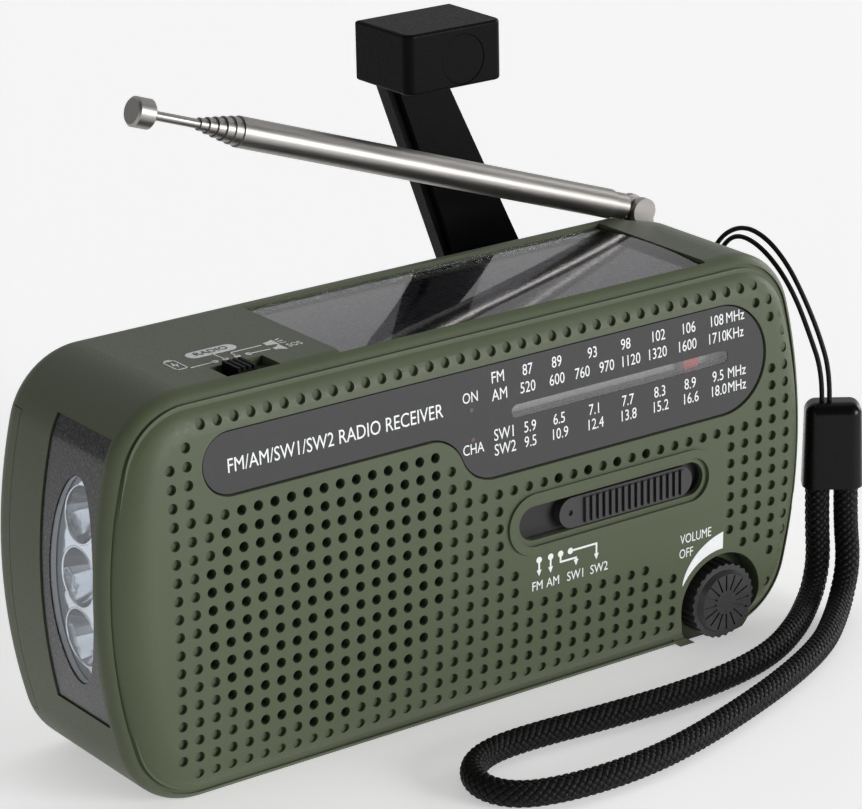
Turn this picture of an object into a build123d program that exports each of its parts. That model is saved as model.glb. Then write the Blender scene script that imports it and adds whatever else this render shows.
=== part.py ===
"""Hand-crank emergency radio with a lamp, a solar panel and a telescopic antenna.

Millimetres. +X runs right along the case, -Y faces the front, +Z is up.
The origin is the centre of the case's flat underside.
"""
import os
from math import atan2, cos, degrees, hypot, pi, radians, sin, sqrt, tan

from build123d import *

os.makedirs("parts", exist_ok=True)

# Case
CASE_W = 130.0
CASE_H = 63.0
FRONT_Y = -17.25
REAR_Y = 17.25
SEAM_Y = 1.0
SIDE_BOW = 5.86
CORNER_R = 12.4
WALL = 2.4
RIM_Y = -14.6
RIM_R = 2.4
PILLOW_INSET = 0.63
PILLOW_R = 6.2
CROWN_R = 339.0
CROWN_Z = 30.3
FRONT_INNER_Y = -13.9
REAR_INNER_Y = 15.05
REAR_R = 3.4

# Front grille
PITCH_X = 2.825
PITCH_Z = 2.793
GRID_X = -25.98
GRID_Z = 27.49
HOLE_R = 0.8
DIMPLE_DEPTH = 0.8
SPEAKER_X = -28.8
SPEAKER_Z = 28.9
SPEAKER_R = 20.0
GRILLE_R = 21.4

# Dial window
WINDOW_TOP = 56.3
WINDOW_LOW = 38.6
WINDOW_MID = 46.75
WINDOW_LEFT_X = -44.1
WINDOW_RIGHT_X = 45.95
WINDOW_SINK = 0.3
LEDGE_Y = -15.1
SLOT_X0 = 5.4
SLOT_X1 = 47.4
SLOT_Z = 48.0
SLOT_H = 2.1
POINTER_X = 41.5

# Tuning drive
WHEEL_X = 51.5
WHEEL_Z = 42.0
WHEEL_R = 15.2
DRUM_R = 6.0
TUNING_MODULE = 0.5
TUNING_PINION_TEETH = 18
TUNING_GEAR_TEETH = 38

# Band slider
BAND_X0 = 6.1
BAND_X1 = 41.9
BAND_Z = 29.6
BAND_H = 5.5
SLIDER_X0 = 13.7
SLIDER_X1 = 39.7
SLIDER_TRAVEL = 6.2
SLIDER_RIBS = 16
STEM_X = (SLIDER_X0 + SLIDER_X1) / 2

# Volume knob
VOLUME_X = 46.2
VOLUME_Z = 7.3
VOLUME_RECESS_R = 8.0
VOLUME_R = 6.2
VOLUME_FLOOR_Y = -12.6

# Top face
SOLAR_X0 = -22.9
SOLAR_X1 = 45.4
SOLAR_Y = 13.3
SOLAR_FLOOR_Z = CASE_H - 2.1
MODE_X0 = -41.8
MODE_X1 = -32.8
MODE_Y = -10.3
MODE_W = 4.8
MODE_KNOB_X = -38.2

# Lamp in the left end
LAMP_Y0 = -11.7
LAMP_Y1 = 3.3
LAMP_Z0 = 14.0
LAMP_Z1 = 57.4
LAMP_Y = -5.2
LAMP_OVAL_Z = 34.8
LED_Z = (44.9, 35.4, 25.9)

# Crank
HUB_X = 42.9
HUB_Z = 40.0
CRANK_LEAN = 22.6
ARM_Y = 32.3
ARM_T = 4.2
KNOB_X = 22.5
KNOB_Z = 92.8
KNOB_Y0 = 17.9
GEAR_MODULE = 0.5
DRIVE_TEETH = 48
STEP_PINION_TEETH = 12
STEP_TEETH = 40
DYNAMO_TEETH = 10

# Antenna
MAST_X = 54.3
MAST_Y = 14.9
MAST_Z = 63.3
MAST_SLOPE = 19.1
TUBE_D = (4.8, 4.3, 3.8, 3.2, 2.6, 2.0)
TUBE_WALL = 0.2
TUBE_START = 6.0
TUBE_END = 80.0
TUBE_STEP = 1.4
ROD_D = 1.45

# Battery bay
DOOR_Y = 12.0
DOOR_X = -16.0
DOOR_Z0 = 8.3
DOOR_Z1 = 55.5
CELL_D = 10.5
CELL_L = 44.5

# Strap
ROPE_D = 4.1
LACE_D = 0.8
FERRULE_X = 72.5
FERRULE_Y = -13.0
FERRULE_Z0 = 19.9
FERRULE_Z1 = 34.2
STRAND_X = 1.87
STRAND_Y = -1.34


def front_plane(y):
    """The upright plane at depth y, facing the front."""
    return Plane.XZ.offset(-y)


def save(piece, name):
    """Label a finished piece and write it."""
    piece.part.label = name
    export_step(piece.part, f"parts/{name}.step")


def gear_teeth(teeth, module, backlash=0.16):
    """A spur gear's outline with straight-flanked teeth and some play in the mesh."""
    pitch_r = teeth * module / 2
    root_r = pitch_r - 1.25 * module
    tip_r = pitch_r + 0.85 * module
    half_root = pi / teeth * root_r * 0.62
    half_tip = pi / teeth * tip_r * 0.24
    play = backlash / 2
    with BuildSketch(mode=Mode.PRIVATE) as gear:
        Circle(root_r)
        with PolarLocations(0, teeth):
            Polygon(
                (root_r * 0.9, -half_root + play),
                (root_r, -half_root + play),
                (tip_r, -half_tip + play / 2),
                (tip_r, half_tip - play / 2),
                (root_r, half_root - play),
                (root_r * 0.9, half_root - play),
                align=None,
            )
    return gear.sketch


# ---------------------------------------------------------------- case outlines
CORNER_X = CASE_W / 2 - SIDE_BOW
with BuildSketch() as case_outline:
    with BuildLine():
        Line((-CORNER_X, 0), (CORNER_X, 0))
        ThreePointArc((CORNER_X, 0), (CASE_W / 2, CASE_H / 2), (CORNER_X, CASE_H))
        Line((CORNER_X, CASE_H), (-CORNER_X, CASE_H))
        ThreePointArc((-CORNER_X, CASE_H), (-CASE_W / 2, CASE_H / 2), (-CORNER_X, 0))
    make_face()
    fillet(case_outline.vertices(), CORNER_R)

WINDOW_LEFT_R = (WINDOW_TOP - WINDOW_MID) / 2
WINDOW_RIGHT_R = (WINDOW_TOP - WINDOW_LOW) / 2
STEP_X0 = -9.8
STEP_X1 = 1.7
STEP_XM = (STEP_X0 + STEP_X1) / 2
STEP_ZM = (WINDOW_MID + WINDOW_LOW) / 2
with BuildSketch() as window_outline:
    with BuildLine():
        Line((WINDOW_LEFT_X, WINDOW_TOP), (WINDOW_RIGHT_X, WINDOW_TOP))
        ThreePointArc(
            (WINDOW_RIGHT_X, WINDOW_TOP),
            (WINDOW_RIGHT_X + WINDOW_RIGHT_R, WINDOW_TOP - WINDOW_RIGHT_R),
            (WINDOW_RIGHT_X, WINDOW_LOW),
        )
        Line((WINDOW_RIGHT_X, WINDOW_LOW), (STEP_X1, WINDOW_LOW))
        TangentArc((STEP_X1, WINDOW_LOW), (STEP_XM, STEP_ZM), tangent=(-1, 0))
        TangentArc((STEP_X0, WINDOW_MID), (STEP_XM, STEP_ZM), tangent=(1, 0))
        Line((STEP_X0, WINDOW_MID), (WINDOW_LEFT_X, WINDOW_MID))
        ThreePointArc(
            (WINDOW_LEFT_X, WINDOW_MID),
            (WINDOW_LEFT_X - WINDOW_LEFT_R, WINDOW_MID + WINDOW_LEFT_R),
            (WINDOW_LEFT_X, WINDOW_TOP),
        )
    make_face()


def case_slab(y_rear, y_front, inset=0.0):
    """A slab of the case's front view, between two depths."""
    with BuildPart(mode=Mode.PRIVATE) as slab:
        with BuildSketch(front_plane(y_rear)):
            if inset:
                offset(case_outline.sketch, amount=-inset, mode=Mode.ADD)
            else:
                add(case_outline.sketch)
        extrude(amount=y_rear - y_front)
    return slab.part


def crown_y(z, sink=0.0):
    """Depth of the crowned front face at height z."""
    return FRONT_Y + CROWN_R - sqrt(CROWN_R**2 - (z - CROWN_Z) ** 2) + sink


def crown_bar(sink):
    """A long bar whose front is the crowned front face, sunk by a depth."""
    with BuildPart(mode=Mode.PRIVATE) as bar:
        with BuildSketch(Plane.YZ.offset(-CASE_W)):
            with Locations((FRONT_Y + CROWN_R, CROWN_Z)):
                Circle(CROWN_R - sink)
        extrude(amount=2 * CASE_W)
    return bar.part


# ---------------------------------------------------------------- front shell
with BuildPart() as pillow:
    add(case_slab(-5.0, FRONT_Y - 1, PILLOW_INSET))
    add(crown_bar(0.0), mode=Mode.INTERSECT)
    fillet(pillow.faces().sort_by(Axis.Y)[0].edges(), PILLOW_R)


def dimple_rows():
    """Yield each grille hole as (column, row, goes through)."""
    for row in range(-11, 10):
        trim = {-11: 2, 9: 2, -10: 1, 8: 1}.get(row, 0)
        for column in range(-10 + trim, 32 - trim):
            x = GRID_X + PITCH_X * column
            z = GRID_Z - PITCH_Z * row
            if z > WINDOW_MID - 1.8 and z < WINDOW_TOP + 1.8 and -50.2 < x < 56.6:
                near_left = x < -46 and hypot(x + 44.4, z - 51.5) > 6.3
                near_right = x > 49 and hypot(x - WINDOW_RIGHT_X, z - 47.4) > 10.6
                if not near_left and not near_right:
                    continue
            if WINDOW_LOW - 1.6 < z <= WINDOW_MID - 1.8 and -9.5 < x < 55.5:
                on_step = x < 0.5 and z < WINDOW_MID - 2.0 - (x + 9.0) * 0.95
                near_right = x > 49 and hypot(x - WINDOW_RIGHT_X, z - 47.4) > 10.6
                if not on_step and not near_right:
                    continue
            if BAND_X0 - 3.4 < x < BAND_X1 + 3.4 and BAND_Z - 5.0 < z < BAND_Z + 5.0:
                continue
            if 6.5 < x < 44.5 and 16.5 < z < 25.5:
                continue
            if hypot(x - VOLUME_X, z - VOLUME_Z) < VOLUME_RECESS_R + 1.6:
                continue
            if 31.5 < x < 46.5 and 14.0 < z < 24.0:
                continue
            in_disc = hypot(x - SPEAKER_X, z - SPEAKER_Z) < GRILLE_R
            in_corner = 2 <= column <= 6 and -7 <= row < 0
            peephole = row == -3 and column in (14, 16, 18, 20)
            yield column, row, in_disc or in_corner or peephole


with BuildPart() as dimples:
    for row in range(-11, 10):
        places = [(c, through) for c, r, through in dimple_rows() if r == row]
        z = GRID_Z - PITCH_Z * row
        for through in (False, True):
            spots = [(GRID_X + PITCH_X * c, z) for c, t in places if t == through]
            if not spots:
                continue
            floor_y = FRONT_INNER_Y + 1 if through else crown_y(z) + DIMPLE_DEPTH
            with BuildSketch(front_plane(floor_y)):
                with Locations(*spots):
                    Circle(HOLE_R)
            extrude(amount=floor_y - FRONT_Y + 1)

LAMP_CUT = Pos(-CASE_W / 2, (LAMP_Y0 + LAMP_Y1) / 2, (LAMP_Z0 + LAMP_Z1) / 2) * Box(
    24, LAMP_Y1 - LAMP_Y0, LAMP_Z1 - LAMP_Z0
)
SCREW_SPOTS = ((-50.0, 5.6), (-50.0, 58.2), (18.0, 58.2), (57.4, 12.5))
BOSS_R = 2.5


def block(x0, x1, y0, y1, z0, z1):
    """A box given by its corners."""
    with BuildPart(mode=Mode.PRIVATE) as piece:
        with BuildSketch(Plane.XY.offset(z0)):
            with Locations(((x0 + x1) / 2, (y0 + y1) / 2)):
                Rectangle(x1 - x0, y1 - y0)
        extrude(amount=z1 - z0)
    return piece.part


with BuildPart() as front_shell:
    add(case_slab(SEAM_Y, RIM_Y))
    fillet(front_shell.faces().sort_by(Axis.Y)[0].edges(), RIM_R)
    with BuildSketch(front_plane(RIM_Y + 0.65)):
        offset(case_outline.sketch, amount=-1.3, mode=Mode.ADD)
        offset(case_outline.sketch, amount=-1.95, mode=Mode.SUBTRACT)
    extrude(amount=1, mode=Mode.SUBTRACT)
    add(pillow.part)
    # raised lip round the band slot
    with BuildSketch(front_plane(FRONT_INNER_Y)):
        with Locations(((BAND_X0 + BAND_X1) / 2, BAND_Z)):
            SlotOverall(BAND_X1 - BAND_X0 + 4.4, BAND_H + 4.4)
    extrude(amount=FRONT_INNER_Y - FRONT_Y + 0.45)
    # hollow inside
    add(case_slab(SEAM_Y, -12.2, WALL), mode=Mode.SUBTRACT)
    add(case_slab(-12.2, FRONT_INNER_Y, 4.2), mode=Mode.SUBTRACT)
    # screw bosses
    with BuildSketch(front_plane(SEAM_Y)):
        with Locations(*SCREW_SPOTS):
            Circle(BOSS_R)
    extrude(amount=SEAM_Y - FRONT_INNER_Y)
    # thicker top under the solar panel, and the well of the volume knob
    add(block(SOLAR_X0 - 2, SOLAR_X1 + 2, FRONT_INNER_Y, SEAM_Y, 58.9, 61.5))
    with BuildSketch(front_plane(VOLUME_FLOOR_Y + 1.8)):
        with Locations((VOLUME_X, VOLUME_Z)):
            Circle(VOLUME_RECESS_R + 1.6)
    extrude(amount=3.4)
    add(case_slab(SEAM_Y + 1, FRONT_Y - 2), mode=Mode.INTERSECT)
    with BuildSketch(front_plane(VOLUME_FLOOR_Y)):
        with Locations((VOLUME_X, VOLUME_Z)):
            Circle(VOLUME_RECESS_R)
    extrude(amount=6, mode=Mode.SUBTRACT)
    with BuildSketch(front_plane(VOLUME_FLOOR_Y + 2)):
        with Locations((VOLUME_X, VOLUME_Z)):
            Circle(3.4)
    extrude(amount=6, mode=Mode.SUBTRACT)
    # dial window seat and opening
    with BuildSketch(front_plane(LEDGE_Y)):
        offset(window_outline.sketch, amount=0.12, mode=Mode.ADD)
    extrude(amount=4, mode=Mode.SUBTRACT)
    with BuildSketch(front_plane(FRONT_INNER_Y + 1)):
        offset(window_outline.sketch, amount=-1.5, mode=Mode.ADD)
    extrude(amount=4, mode=Mode.SUBTRACT)
    # band slot: a stepped lip, a well and a slit for the stem
    for depth_y, grow in ((FRONT_Y + 0.15, 1.7), (FRONT_Y + 1.9, 0.0)):
        with BuildSketch(front_plane(depth_y)):
            with Locations(((BAND_X0 + BAND_X1) / 2, BAND_Z)):
                SlotOverall(BAND_X1 - BAND_X0 + grow, BAND_H + grow)
        extrude(amount=4, mode=Mode.SUBTRACT)
    with BuildSketch(front_plane(FRONT_INNER_Y + 1)):
        with Locations(((SLIDER_X0 + SLIDER_X1 - SLIDER_TRAVEL) / 2, BAND_Z)):
            Rectangle(8 + SLIDER_TRAVEL, 2.4)
    extrude(amount=4, mode=Mode.SUBTRACT)
    # solar recess, mode slot, lamp opening and tuning wheel slot
    add(
        block(SOLAR_X0, SOLAR_X1, -SOLAR_Y, SEAM_Y + 1, SOLAR_FLOOR_Z, CASE_H + 1),
        mode=Mode.SUBTRACT,
    )
    add(
        block(MODE_X0, MODE_X1, MODE_Y - MODE_W / 2, MODE_Y + MODE_W / 2, 61.6, CASE_H + 1),
        mode=Mode.SUBTRACT,
    )
    add(
        block(MODE_X0 + 0.4, MODE_X1 - 0.2, MODE_Y - 1.1, MODE_Y + 1.1, 58, CASE_H + 1),
        mode=Mode.SUBTRACT,
    )
    add(LAMP_CUT, mode=Mode.SUBTRACT)
    with BuildSketch(front_plane(-4.8)):
        with Locations((WHEEL_X, WHEEL_Z)):
            Circle(WHEEL_R + 0.5)
    extrude(amount=4.8, mode=Mode.SUBTRACT)
    with BuildSketch(front_plane(SEAM_Y)):
        with Locations(*SCREW_SPOTS):
            Circle(1.05)
    extrude(amount=11, mode=Mode.SUBTRACT)
    add(dimples.part, mode=Mode.SUBTRACT)
save(front_shell, "front_shell")

# ---------------------------------------------------------------- rear shell
BAY_X0 = -51.5
BAY_X1 = -16.8
STRAP_Y = 10.0
STRAP_Z0 = 46.5
STRAP_Z1 = 57.0
STRAP_BAR_X = 60.3
STRAP_BAR_R = 0.9
STRAP_BAR_L = STRAP_Z1 - 4.4 - STRAP_Z0 + 1.4
JACK_Y = 8.6
JACK_Z = 20.0
USB_Z = 30.5

with BuildPart() as rear_solid:
    add(case_slab(REAR_Y, SEAM_Y))
    fillet(rear_solid.faces().sort_by(Axis.Y)[-1].edges(), REAR_R)

with BuildPart() as rear_shell:
    add(rear_solid.part)
    add(case_slab(REAR_INNER_Y, SEAM_Y, WALL), mode=Mode.SUBTRACT)
    # battery bay: floor and side walls, open to the rear
    add(block(BAY_X0 - 1.6, BAY_X1 + 1.6, 2.6, REAR_INNER_Y, 7.0, 57.0))
    add(
        block(DOOR_X - 49, DOOR_X + 0.12, DOOR_Y, REAR_Y + 1, DOOR_Z0 - 0.12, DOOR_Z1 + 0.12),
        mode=Mode.SUBTRACT,
    )
    add(
        block(BAY_X0, BAY_X1, 4.2, REAR_Y + 1, DOOR_Z0 + 0.4, DOOR_Z1 - 0.4),
        mode=Mode.SUBTRACT,
    )
    # crank boss on the rear
    with BuildSketch(front_plane(REAR_INNER_Y)):
        with Locations((HUB_X, HUB_Z)):
            Circle(16)
    extrude(amount=-9.45, taper=12)
    with BuildSketch(front_plane(REAR_INNER_Y)):
        with Locations((HUB_X, HUB_Z)):
            Circle(5)
    extrude(amount=-12, mode=Mode.SUBTRACT)
    # screw posts, with counterbored holes from the rear
    with BuildSketch(front_plane(SEAM_Y)):
        with Locations(*SCREW_SPOTS):
            Circle(BOSS_R)
    extrude(amount=-(REAR_INNER_Y - SEAM_Y))
    add(case_slab(REAR_Y + 12, SEAM_Y), mode=Mode.INTERSECT)
    # thicker top under the solar panel
    add(block(SOLAR_X0 - 2, SOLAR_X1 + 2, SEAM_Y, REAR_INNER_Y, 58.9, 61.5))
    add(
        block(SOLAR_X0, SOLAR_X1, SEAM_Y - 1, SOLAR_Y, SOLAR_FLOOR_Z, CASE_H + 1),
        mode=Mode.SUBTRACT,
    )
    add(LAMP_CUT, mode=Mode.SUBTRACT)
    # antenna post block, scooped seat and bore
    add(block(MAST_X - 4.4, MAST_X + 3.4, 10.6, REAR_Y - 0.3, 52.5, 60.5))
    add(block(55.2, 66, STRAP_Y - 4.6, STRAP_Y + 1.4, STRAP_Z0 - 1.2, STRAP_Z1 - 3.2))
    add(case_slab(REAR_Y + 12, SEAM_Y), mode=Mode.INTERSECT)
    with BuildSketch(Plane.XY.offset(60.6)):
        with Locations((MAST_X, MAST_Y)):
            Circle(5.5)
    extrude(amount=6, mode=Mode.SUBTRACT)
    with BuildSketch(Plane.XY.offset(53.6)):
        with Locations((MAST_X, MAST_Y)):
            Circle(2.05)
    extrude(amount=12, mode=Mode.SUBTRACT)
    # strap pocket on the right, earphone hole and charging port
    add(
        block(56.8, 70, STRAP_Y - 3.4, STRAP_Y + 0.4, STRAP_Z0, STRAP_Z1 - 4.4),
        mode=Mode.SUBTRACT,
    )
    with BuildSketch(Plane.YZ.offset(56)):
        with Locations((JACK_Y, JACK_Z)):
            Circle(3.1)
        with Locations((JACK_Y, USB_Z)):
            Rectangle(3.4, 8.2)
    extrude(amount=14, mode=Mode.SUBTRACT)
    with BuildSketch(Plane.XY.offset(STRAP_Z0 - 0.8)):
        with Locations((STRAP_BAR_X, STRAP_Y - 1.5)):
            Circle(STRAP_BAR_R)
    extrude(amount=STRAP_BAR_L)
    with BuildSketch(front_plane(SEAM_Y - 1)):
        with Locations(*SCREW_SPOTS):
            Circle(1.25)
    extrude(amount=-20, mode=Mode.SUBTRACT)
    with BuildSketch(front_plane(REAR_Y - 2.6)):
        with Locations(*SCREW_SPOTS):
            Circle(2.05)
    extrude(amount=-6, mode=Mode.SUBTRACT)
save(rear_shell, "rear_shell")

# ---------------------------------------------------------------- battery door and bay
with BuildPart() as battery_door:
    add(rear_solid.part)
    add(
        block(-CASE_W, DOOR_X, DOOR_Y + 0.1, REAR_Y + 1, DOOR_Z0, DOOR_Z1),
        mode=Mode.INTERSECT,
    )
    hollow = case_slab(REAR_Y - 1.8, SEAM_Y, 1.8)
    add(hollow, mode=Mode.SUBTRACT)
    # three grip ribs
    with BuildSketch(front_plane(REAR_Y - 0.2)):
        with GridLocations(2.4, 0, 3, 1):
            with Locations((-56.0, CASE_H / 2)):
                SlotOverall(12, 1.2, rotation=90)
    extrude(amount=-0.7)
save(battery_door, "battery_door")

CELL_XS = [(BAY_X0 + BAY_X1) / 2 + (CELL_D + 0.4) * k for k in (-1, 0, 1)]
CELL_Y = 4.5 + CELL_D / 2
CELL_Z = (DOOR_Z0 + DOOR_Z1) / 2
with BuildPart() as battery_cells:
    for x in CELL_XS:
        with BuildSketch(Plane.XY.offset(CELL_Z - CELL_L / 2)):
            with Locations((x, CELL_Y)):
                Circle(CELL_D / 2)
        extrude(amount=CELL_L - 1.0)
        with BuildSketch(Plane.XY.offset(CELL_Z + CELL_L / 2 - 1.0)):
            with Locations((x, CELL_Y)):
                Circle(1.9)
        extrude(amount=1.0)
save(battery_cells, "battery_cells")

with BuildPart() as battery_contacts:
    for x in CELL_XS:
        add(block(x - 4, x + 4, CELL_Y - 4, CELL_Y + 4, DOOR_Z1 - 0.8, DOOR_Z1 - 0.5))
        add(block(x - 4, x + 4, CELL_Y - 4, CELL_Y + 4, DOOR_Z0 + 0.5, DOOR_Z0 + 0.8))
save(battery_contacts, "battery_contacts")

# ---------------------------------------------------------------- dial
with BuildPart() as dial_window:
    with BuildSketch(front_plane(LEDGE_Y)):
        add(window_outline.sketch)
    extrude(amount=4)
    add(crown_bar(WINDOW_SINK), mode=Mode.INTERSECT)
    chamfer(dial_window.faces().sort_by(Axis.Y)[0].edges(), 0.2)
    with BuildSketch(front_plane(LEDGE_Y + 1)):
        with Locations(((SLOT_X0 + SLOT_X1) / 2, SLOT_Z)):
            SlotOverall(SLOT_X1 - SLOT_X0, SLOT_H)
    extrude(amount=5, mode=Mode.SUBTRACT)
save(dial_window, "dial_window")

with BuildPart() as dial_lens:
    with BuildSketch(front_plane(LEDGE_Y)):
        with Locations(((SLOT_X0 + SLOT_X1) / 2, SLOT_Z)):
            SlotOverall(SLOT_X1 - SLOT_X0 - 0.04, SLOT_H - 0.04)
    extrude(amount=4)
    add(crown_bar(WINDOW_SINK + 0.1), mode=Mode.INTERSECT)
save(dial_lens, "dial_lens")

with BuildPart() as dial_backing:
    add(block(-0.5, 50.5, -13.0, -12.7, 46.5, 51.0))
save(dial_backing, "dial_backing")

CORD_Y = -12.1
IDLER_X = 2.0
IDLER_R = 1.8
CORD_TOP = WHEEL_Z + DRUM_R + 0.35
IDLER_Z = CORD_TOP - 0.25 - IDLER_R - 0.1
with BuildPart() as dial_pointer:
    add(block(POINTER_X - 1.4, POINTER_X + 1.4, -14.7, -13.3, 45.2, 49.6))
    add(block(POINTER_X - 1.4, POINTER_X + 1.4, -13.3, -11.2, 45.2, 46.2))
    add(block(POINTER_X - 1.4, POINTER_X + 1.4, -11.7, -11.2, 46.2, 49.6))
save(dial_pointer, "dial_pointer")

with BuildPart() as dial_cord:
    with BuildSketch(front_plane(CORD_Y + 0.25)):
        with BuildSketch(mode=Mode.PRIVATE) as path_fill:
            with Locations((WHEEL_X, WHEEL_Z)):
                Circle(DRUM_R + 0.1)
            with Locations((IDLER_X, IDLER_Z)):
                Circle(IDLER_R + 0.1)
            make_hull()
        offset(path_fill.sketch, amount=0.5, mode=Mode.ADD)
        add(path_fill.sketch, mode=Mode.SUBTRACT)
    extrude(amount=0.5)
save(dial_cord, "dial_cord")

with BuildPart() as tuning_wheel:
    with BuildSketch(front_plane(-5.2)):
        with Locations((WHEEL_X, WHEEL_Z)):
            Circle(WHEEL_R)
            with PolarLocations(WHEEL_R + 0.25, 60):
                Circle(0.5, mode=Mode.SUBTRACT)
    extrude(amount=4.0)
    with BuildSketch(front_plane(-9.2)):
        with Locations((WHEEL_X, WHEEL_Z)):
            Circle(DRUM_R + 1.2)
    extrude(amount=1.8)
    with BuildSketch(front_plane(-11.0)):
        with Locations((WHEEL_X, WHEEL_Z)):
            Circle(DRUM_R)
    extrude(amount=1.6)
    with BuildSketch(front_plane(-3.5)):
        with Locations(Location((WHEEL_X, WHEEL_Z), 90 / TUNING_PINION_TEETH)):
            add(gear_teeth(TUNING_PINION_TEETH, TUNING_MODULE))
    extrude(amount=1.7)
    with BuildSketch(front_plane(0)):
        with Locations((WHEEL_X, WHEEL_Z)):
            Circle(1.55)
    extrude(amount=14, mode=Mode.SUBTRACT)
save(tuning_wheel, "tuning_wheel")

# the wheel's axle, and the post and head that turn the dial cord back
with BuildPart() as dial_spindles:
    with BuildSketch(front_plane(-3.05)):
        with Locations((WHEEL_X, WHEEL_Z)):
            Circle(1.5)
    extrude(amount=10.2)
    with BuildSketch(front_plane(-3.0)):
        with Locations((IDLER_X, IDLER_Z)):
            Circle(0.9)
    extrude(amount=8.4)
    with BuildSketch(front_plane(-11.2)):
        with Locations((IDLER_X, IDLER_Z)):
            Circle(IDLER_R)
    extrude(amount=1.4)
save(dial_spindles, "dial_spindles")

TUNING_DISTANCE = (TUNING_PINION_TEETH + TUNING_GEAR_TEETH) * TUNING_MODULE / 2 + 0.05
CAPACITOR_X = WHEEL_X - TUNING_DISTANCE * cos(radians(45))
CAPACITOR_Z = WHEEL_Z - TUNING_DISTANCE * sin(radians(45))
with BuildPart() as tuning_gear:
    with BuildSketch(front_plane(-3.6)):
        with Locations(Location((CAPACITOR_X, CAPACITOR_Z), 45 + 180 / TUNING_GEAR_TEETH)):
            add(gear_teeth(TUNING_GEAR_TEETH, TUNING_MODULE))
    extrude(amount=1.0)
    with BuildSketch(front_plane(5.0)):
        with Locations((CAPACITOR_X, CAPACITOR_Z)):
            Circle(1.4)
    extrude(amount=8.7)
save(tuning_gear, "tuning_gear")

with BuildPart() as tuning_capacitor:
    with BuildSketch(front_plane(5.4)):
        with Locations((CAPACITOR_X, CAPACITOR_Z)):
            RectangleRounded(18, 18, 1)
    extrude(amount=6.7)
    with BuildSketch(front_plane(5.2)):
        with Locations((CAPACITOR_X, CAPACITOR_Z)):
            Circle(1.45)
    extrude(amount=8, mode=Mode.SUBTRACT)
save(tuning_capacitor, "tuning_capacitor")

# ---------------------------------------------------------------- main board
BOARD_FRONT = -3.0
BOARD_T = 1.6
with BuildPart() as main_board:
    add(block(-6.0, 54.4, BOARD_FRONT, BOARD_FRONT + BOARD_T, 4.2, 54.6))
    with BuildSketch(front_plane(2)):
        with Locations((CAPACITOR_X, CAPACITOR_Z)):
            Circle(2.0)
    extrude(amount=8, mode=Mode.SUBTRACT)
    for x, z, w, h in ((10, 14, 9, 6), (24, 12, 6, 6), (22, 46, 7, 9), (2, 34, 5, 5), (6, 22, 4, 7)):
        add(block(x - w / 2, x + w / 2, BOARD_FRONT - 1.4, BOARD_FRONT, z - h / 2, z + h / 2))
save(main_board, "main_board")

# ---------------------------------------------------------------- band slider
with BuildPart() as band_slider:
    with BuildSketch(front_plane(FRONT_Y + 1.8)):
        with Locations(((SLIDER_X0 + SLIDER_X1) / 2, BAND_Z)):
            SlotOverall(SLIDER_X1 - SLIDER_X0, BAND_H - 0.6)
    extrude(amount=1.7)
    with BuildSketch(front_plane(FRONT_Y + 0.1)):
        with Locations(((SLIDER_X0 + SLIDER_X1) / 2 + 1.4, BAND_Z)):
            with GridLocations(1.25, 0, SLIDER_RIBS, 1):
                Rectangle(0.62, BAND_H - 1.4)
    extrude(amount=0.5)
    with BuildSketch(front_plane(FRONT_Y + 0.5)):
        with Locations((SLIDER_X0 + 2.1, BAND_Z)):
            Circle(0.45)
    extrude(amount=1, mode=Mode.SUBTRACT)
    add(block(STEM_X - 3.8, STEM_X + 3.8, FRONT_Y + 1.8, -12.9, BAND_Z - 1, BAND_Z + 1))
    add(block(STEM_X - 5.5, STEM_X + 5.5, -13.6, -12.5, BAND_Z - 2.6, BAND_Z + 2.6))
    add(block(STEM_X - 1, STEM_X + 1, -12.5, -10.2, BAND_Z - 1, BAND_Z + 1))
save(band_slider, "band_slider")

with BuildPart() as band_switch:
    add(block(9.0, 31.0, -11.4, BOARD_FRONT - 0.02, BAND_Z - 4, BAND_Z + 2.4))
    add(
        block(STEM_X - 9, STEM_X + 2.6, -12, -9.9, BAND_Z - 1.3, BAND_Z + 1.3),
        mode=Mode.SUBTRACT,
    )
save(band_switch, "band_switch")

# ---------------------------------------------------------------- volume control
with BuildPart() as volume_knob:
    with BuildSketch(front_plane(VOLUME_FLOOR_Y - 0.3)):
        with Locations((VOLUME_X, VOLUME_Z)):
            Circle(VOLUME_R)
            with PolarLocations(VOLUME_R + 0.35, 28):
                Circle(0.62, mode=Mode.SUBTRACT)
    extrude(amount=4.2)
    with BuildSketch(front_plane(VOLUME_FLOOR_Y - 4.5)):
        with Locations((VOLUME_X, VOLUME_Z)):
            Circle(5.2)
    extrude(amount=0.9, taper=30)
    with BuildSketch(front_plane(VOLUME_FLOOR_Y - 5.1)):
        with Locations((VOLUME_X, VOLUME_Z)):
            with PolarLocations(3.3, 16):
                Rectangle(2.6, 0.3)
    extrude(amount=1, mode=Mode.SUBTRACT)
    with BuildSketch(front_plane(-8.2)):
        with Locations((VOLUME_X, VOLUME_Z)):
            Circle(1.5)
    extrude(amount=5)
save(volume_knob, "volume_knob")

with BuildPart() as volume_pot:
    add(block(VOLUME_X - 4.8, VOLUME_X + 4.8, -9.8, BOARD_FRONT - 0.02, VOLUME_Z - 4.2, VOLUME_Z + 5))
    with BuildSketch(front_plane(-7.9)):
        with Locations((VOLUME_X, VOLUME_Z)):
            Circle(1.56)
    extrude(amount=3, mode=Mode.SUBTRACT)
save(volume_pot, "volume_pot")

# ---------------------------------------------------------------- speaker
with BuildPart() as grille_cloth:
    with BuildSketch(front_plane(FRONT_INNER_Y + 0.35)):
        with Locations((SPEAKER_X, SPEAKER_Z)):
            Circle(SPEAKER_R + 1.5)
    extrude(amount=0.3)
save(grille_cloth, "grille_cloth")

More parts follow.
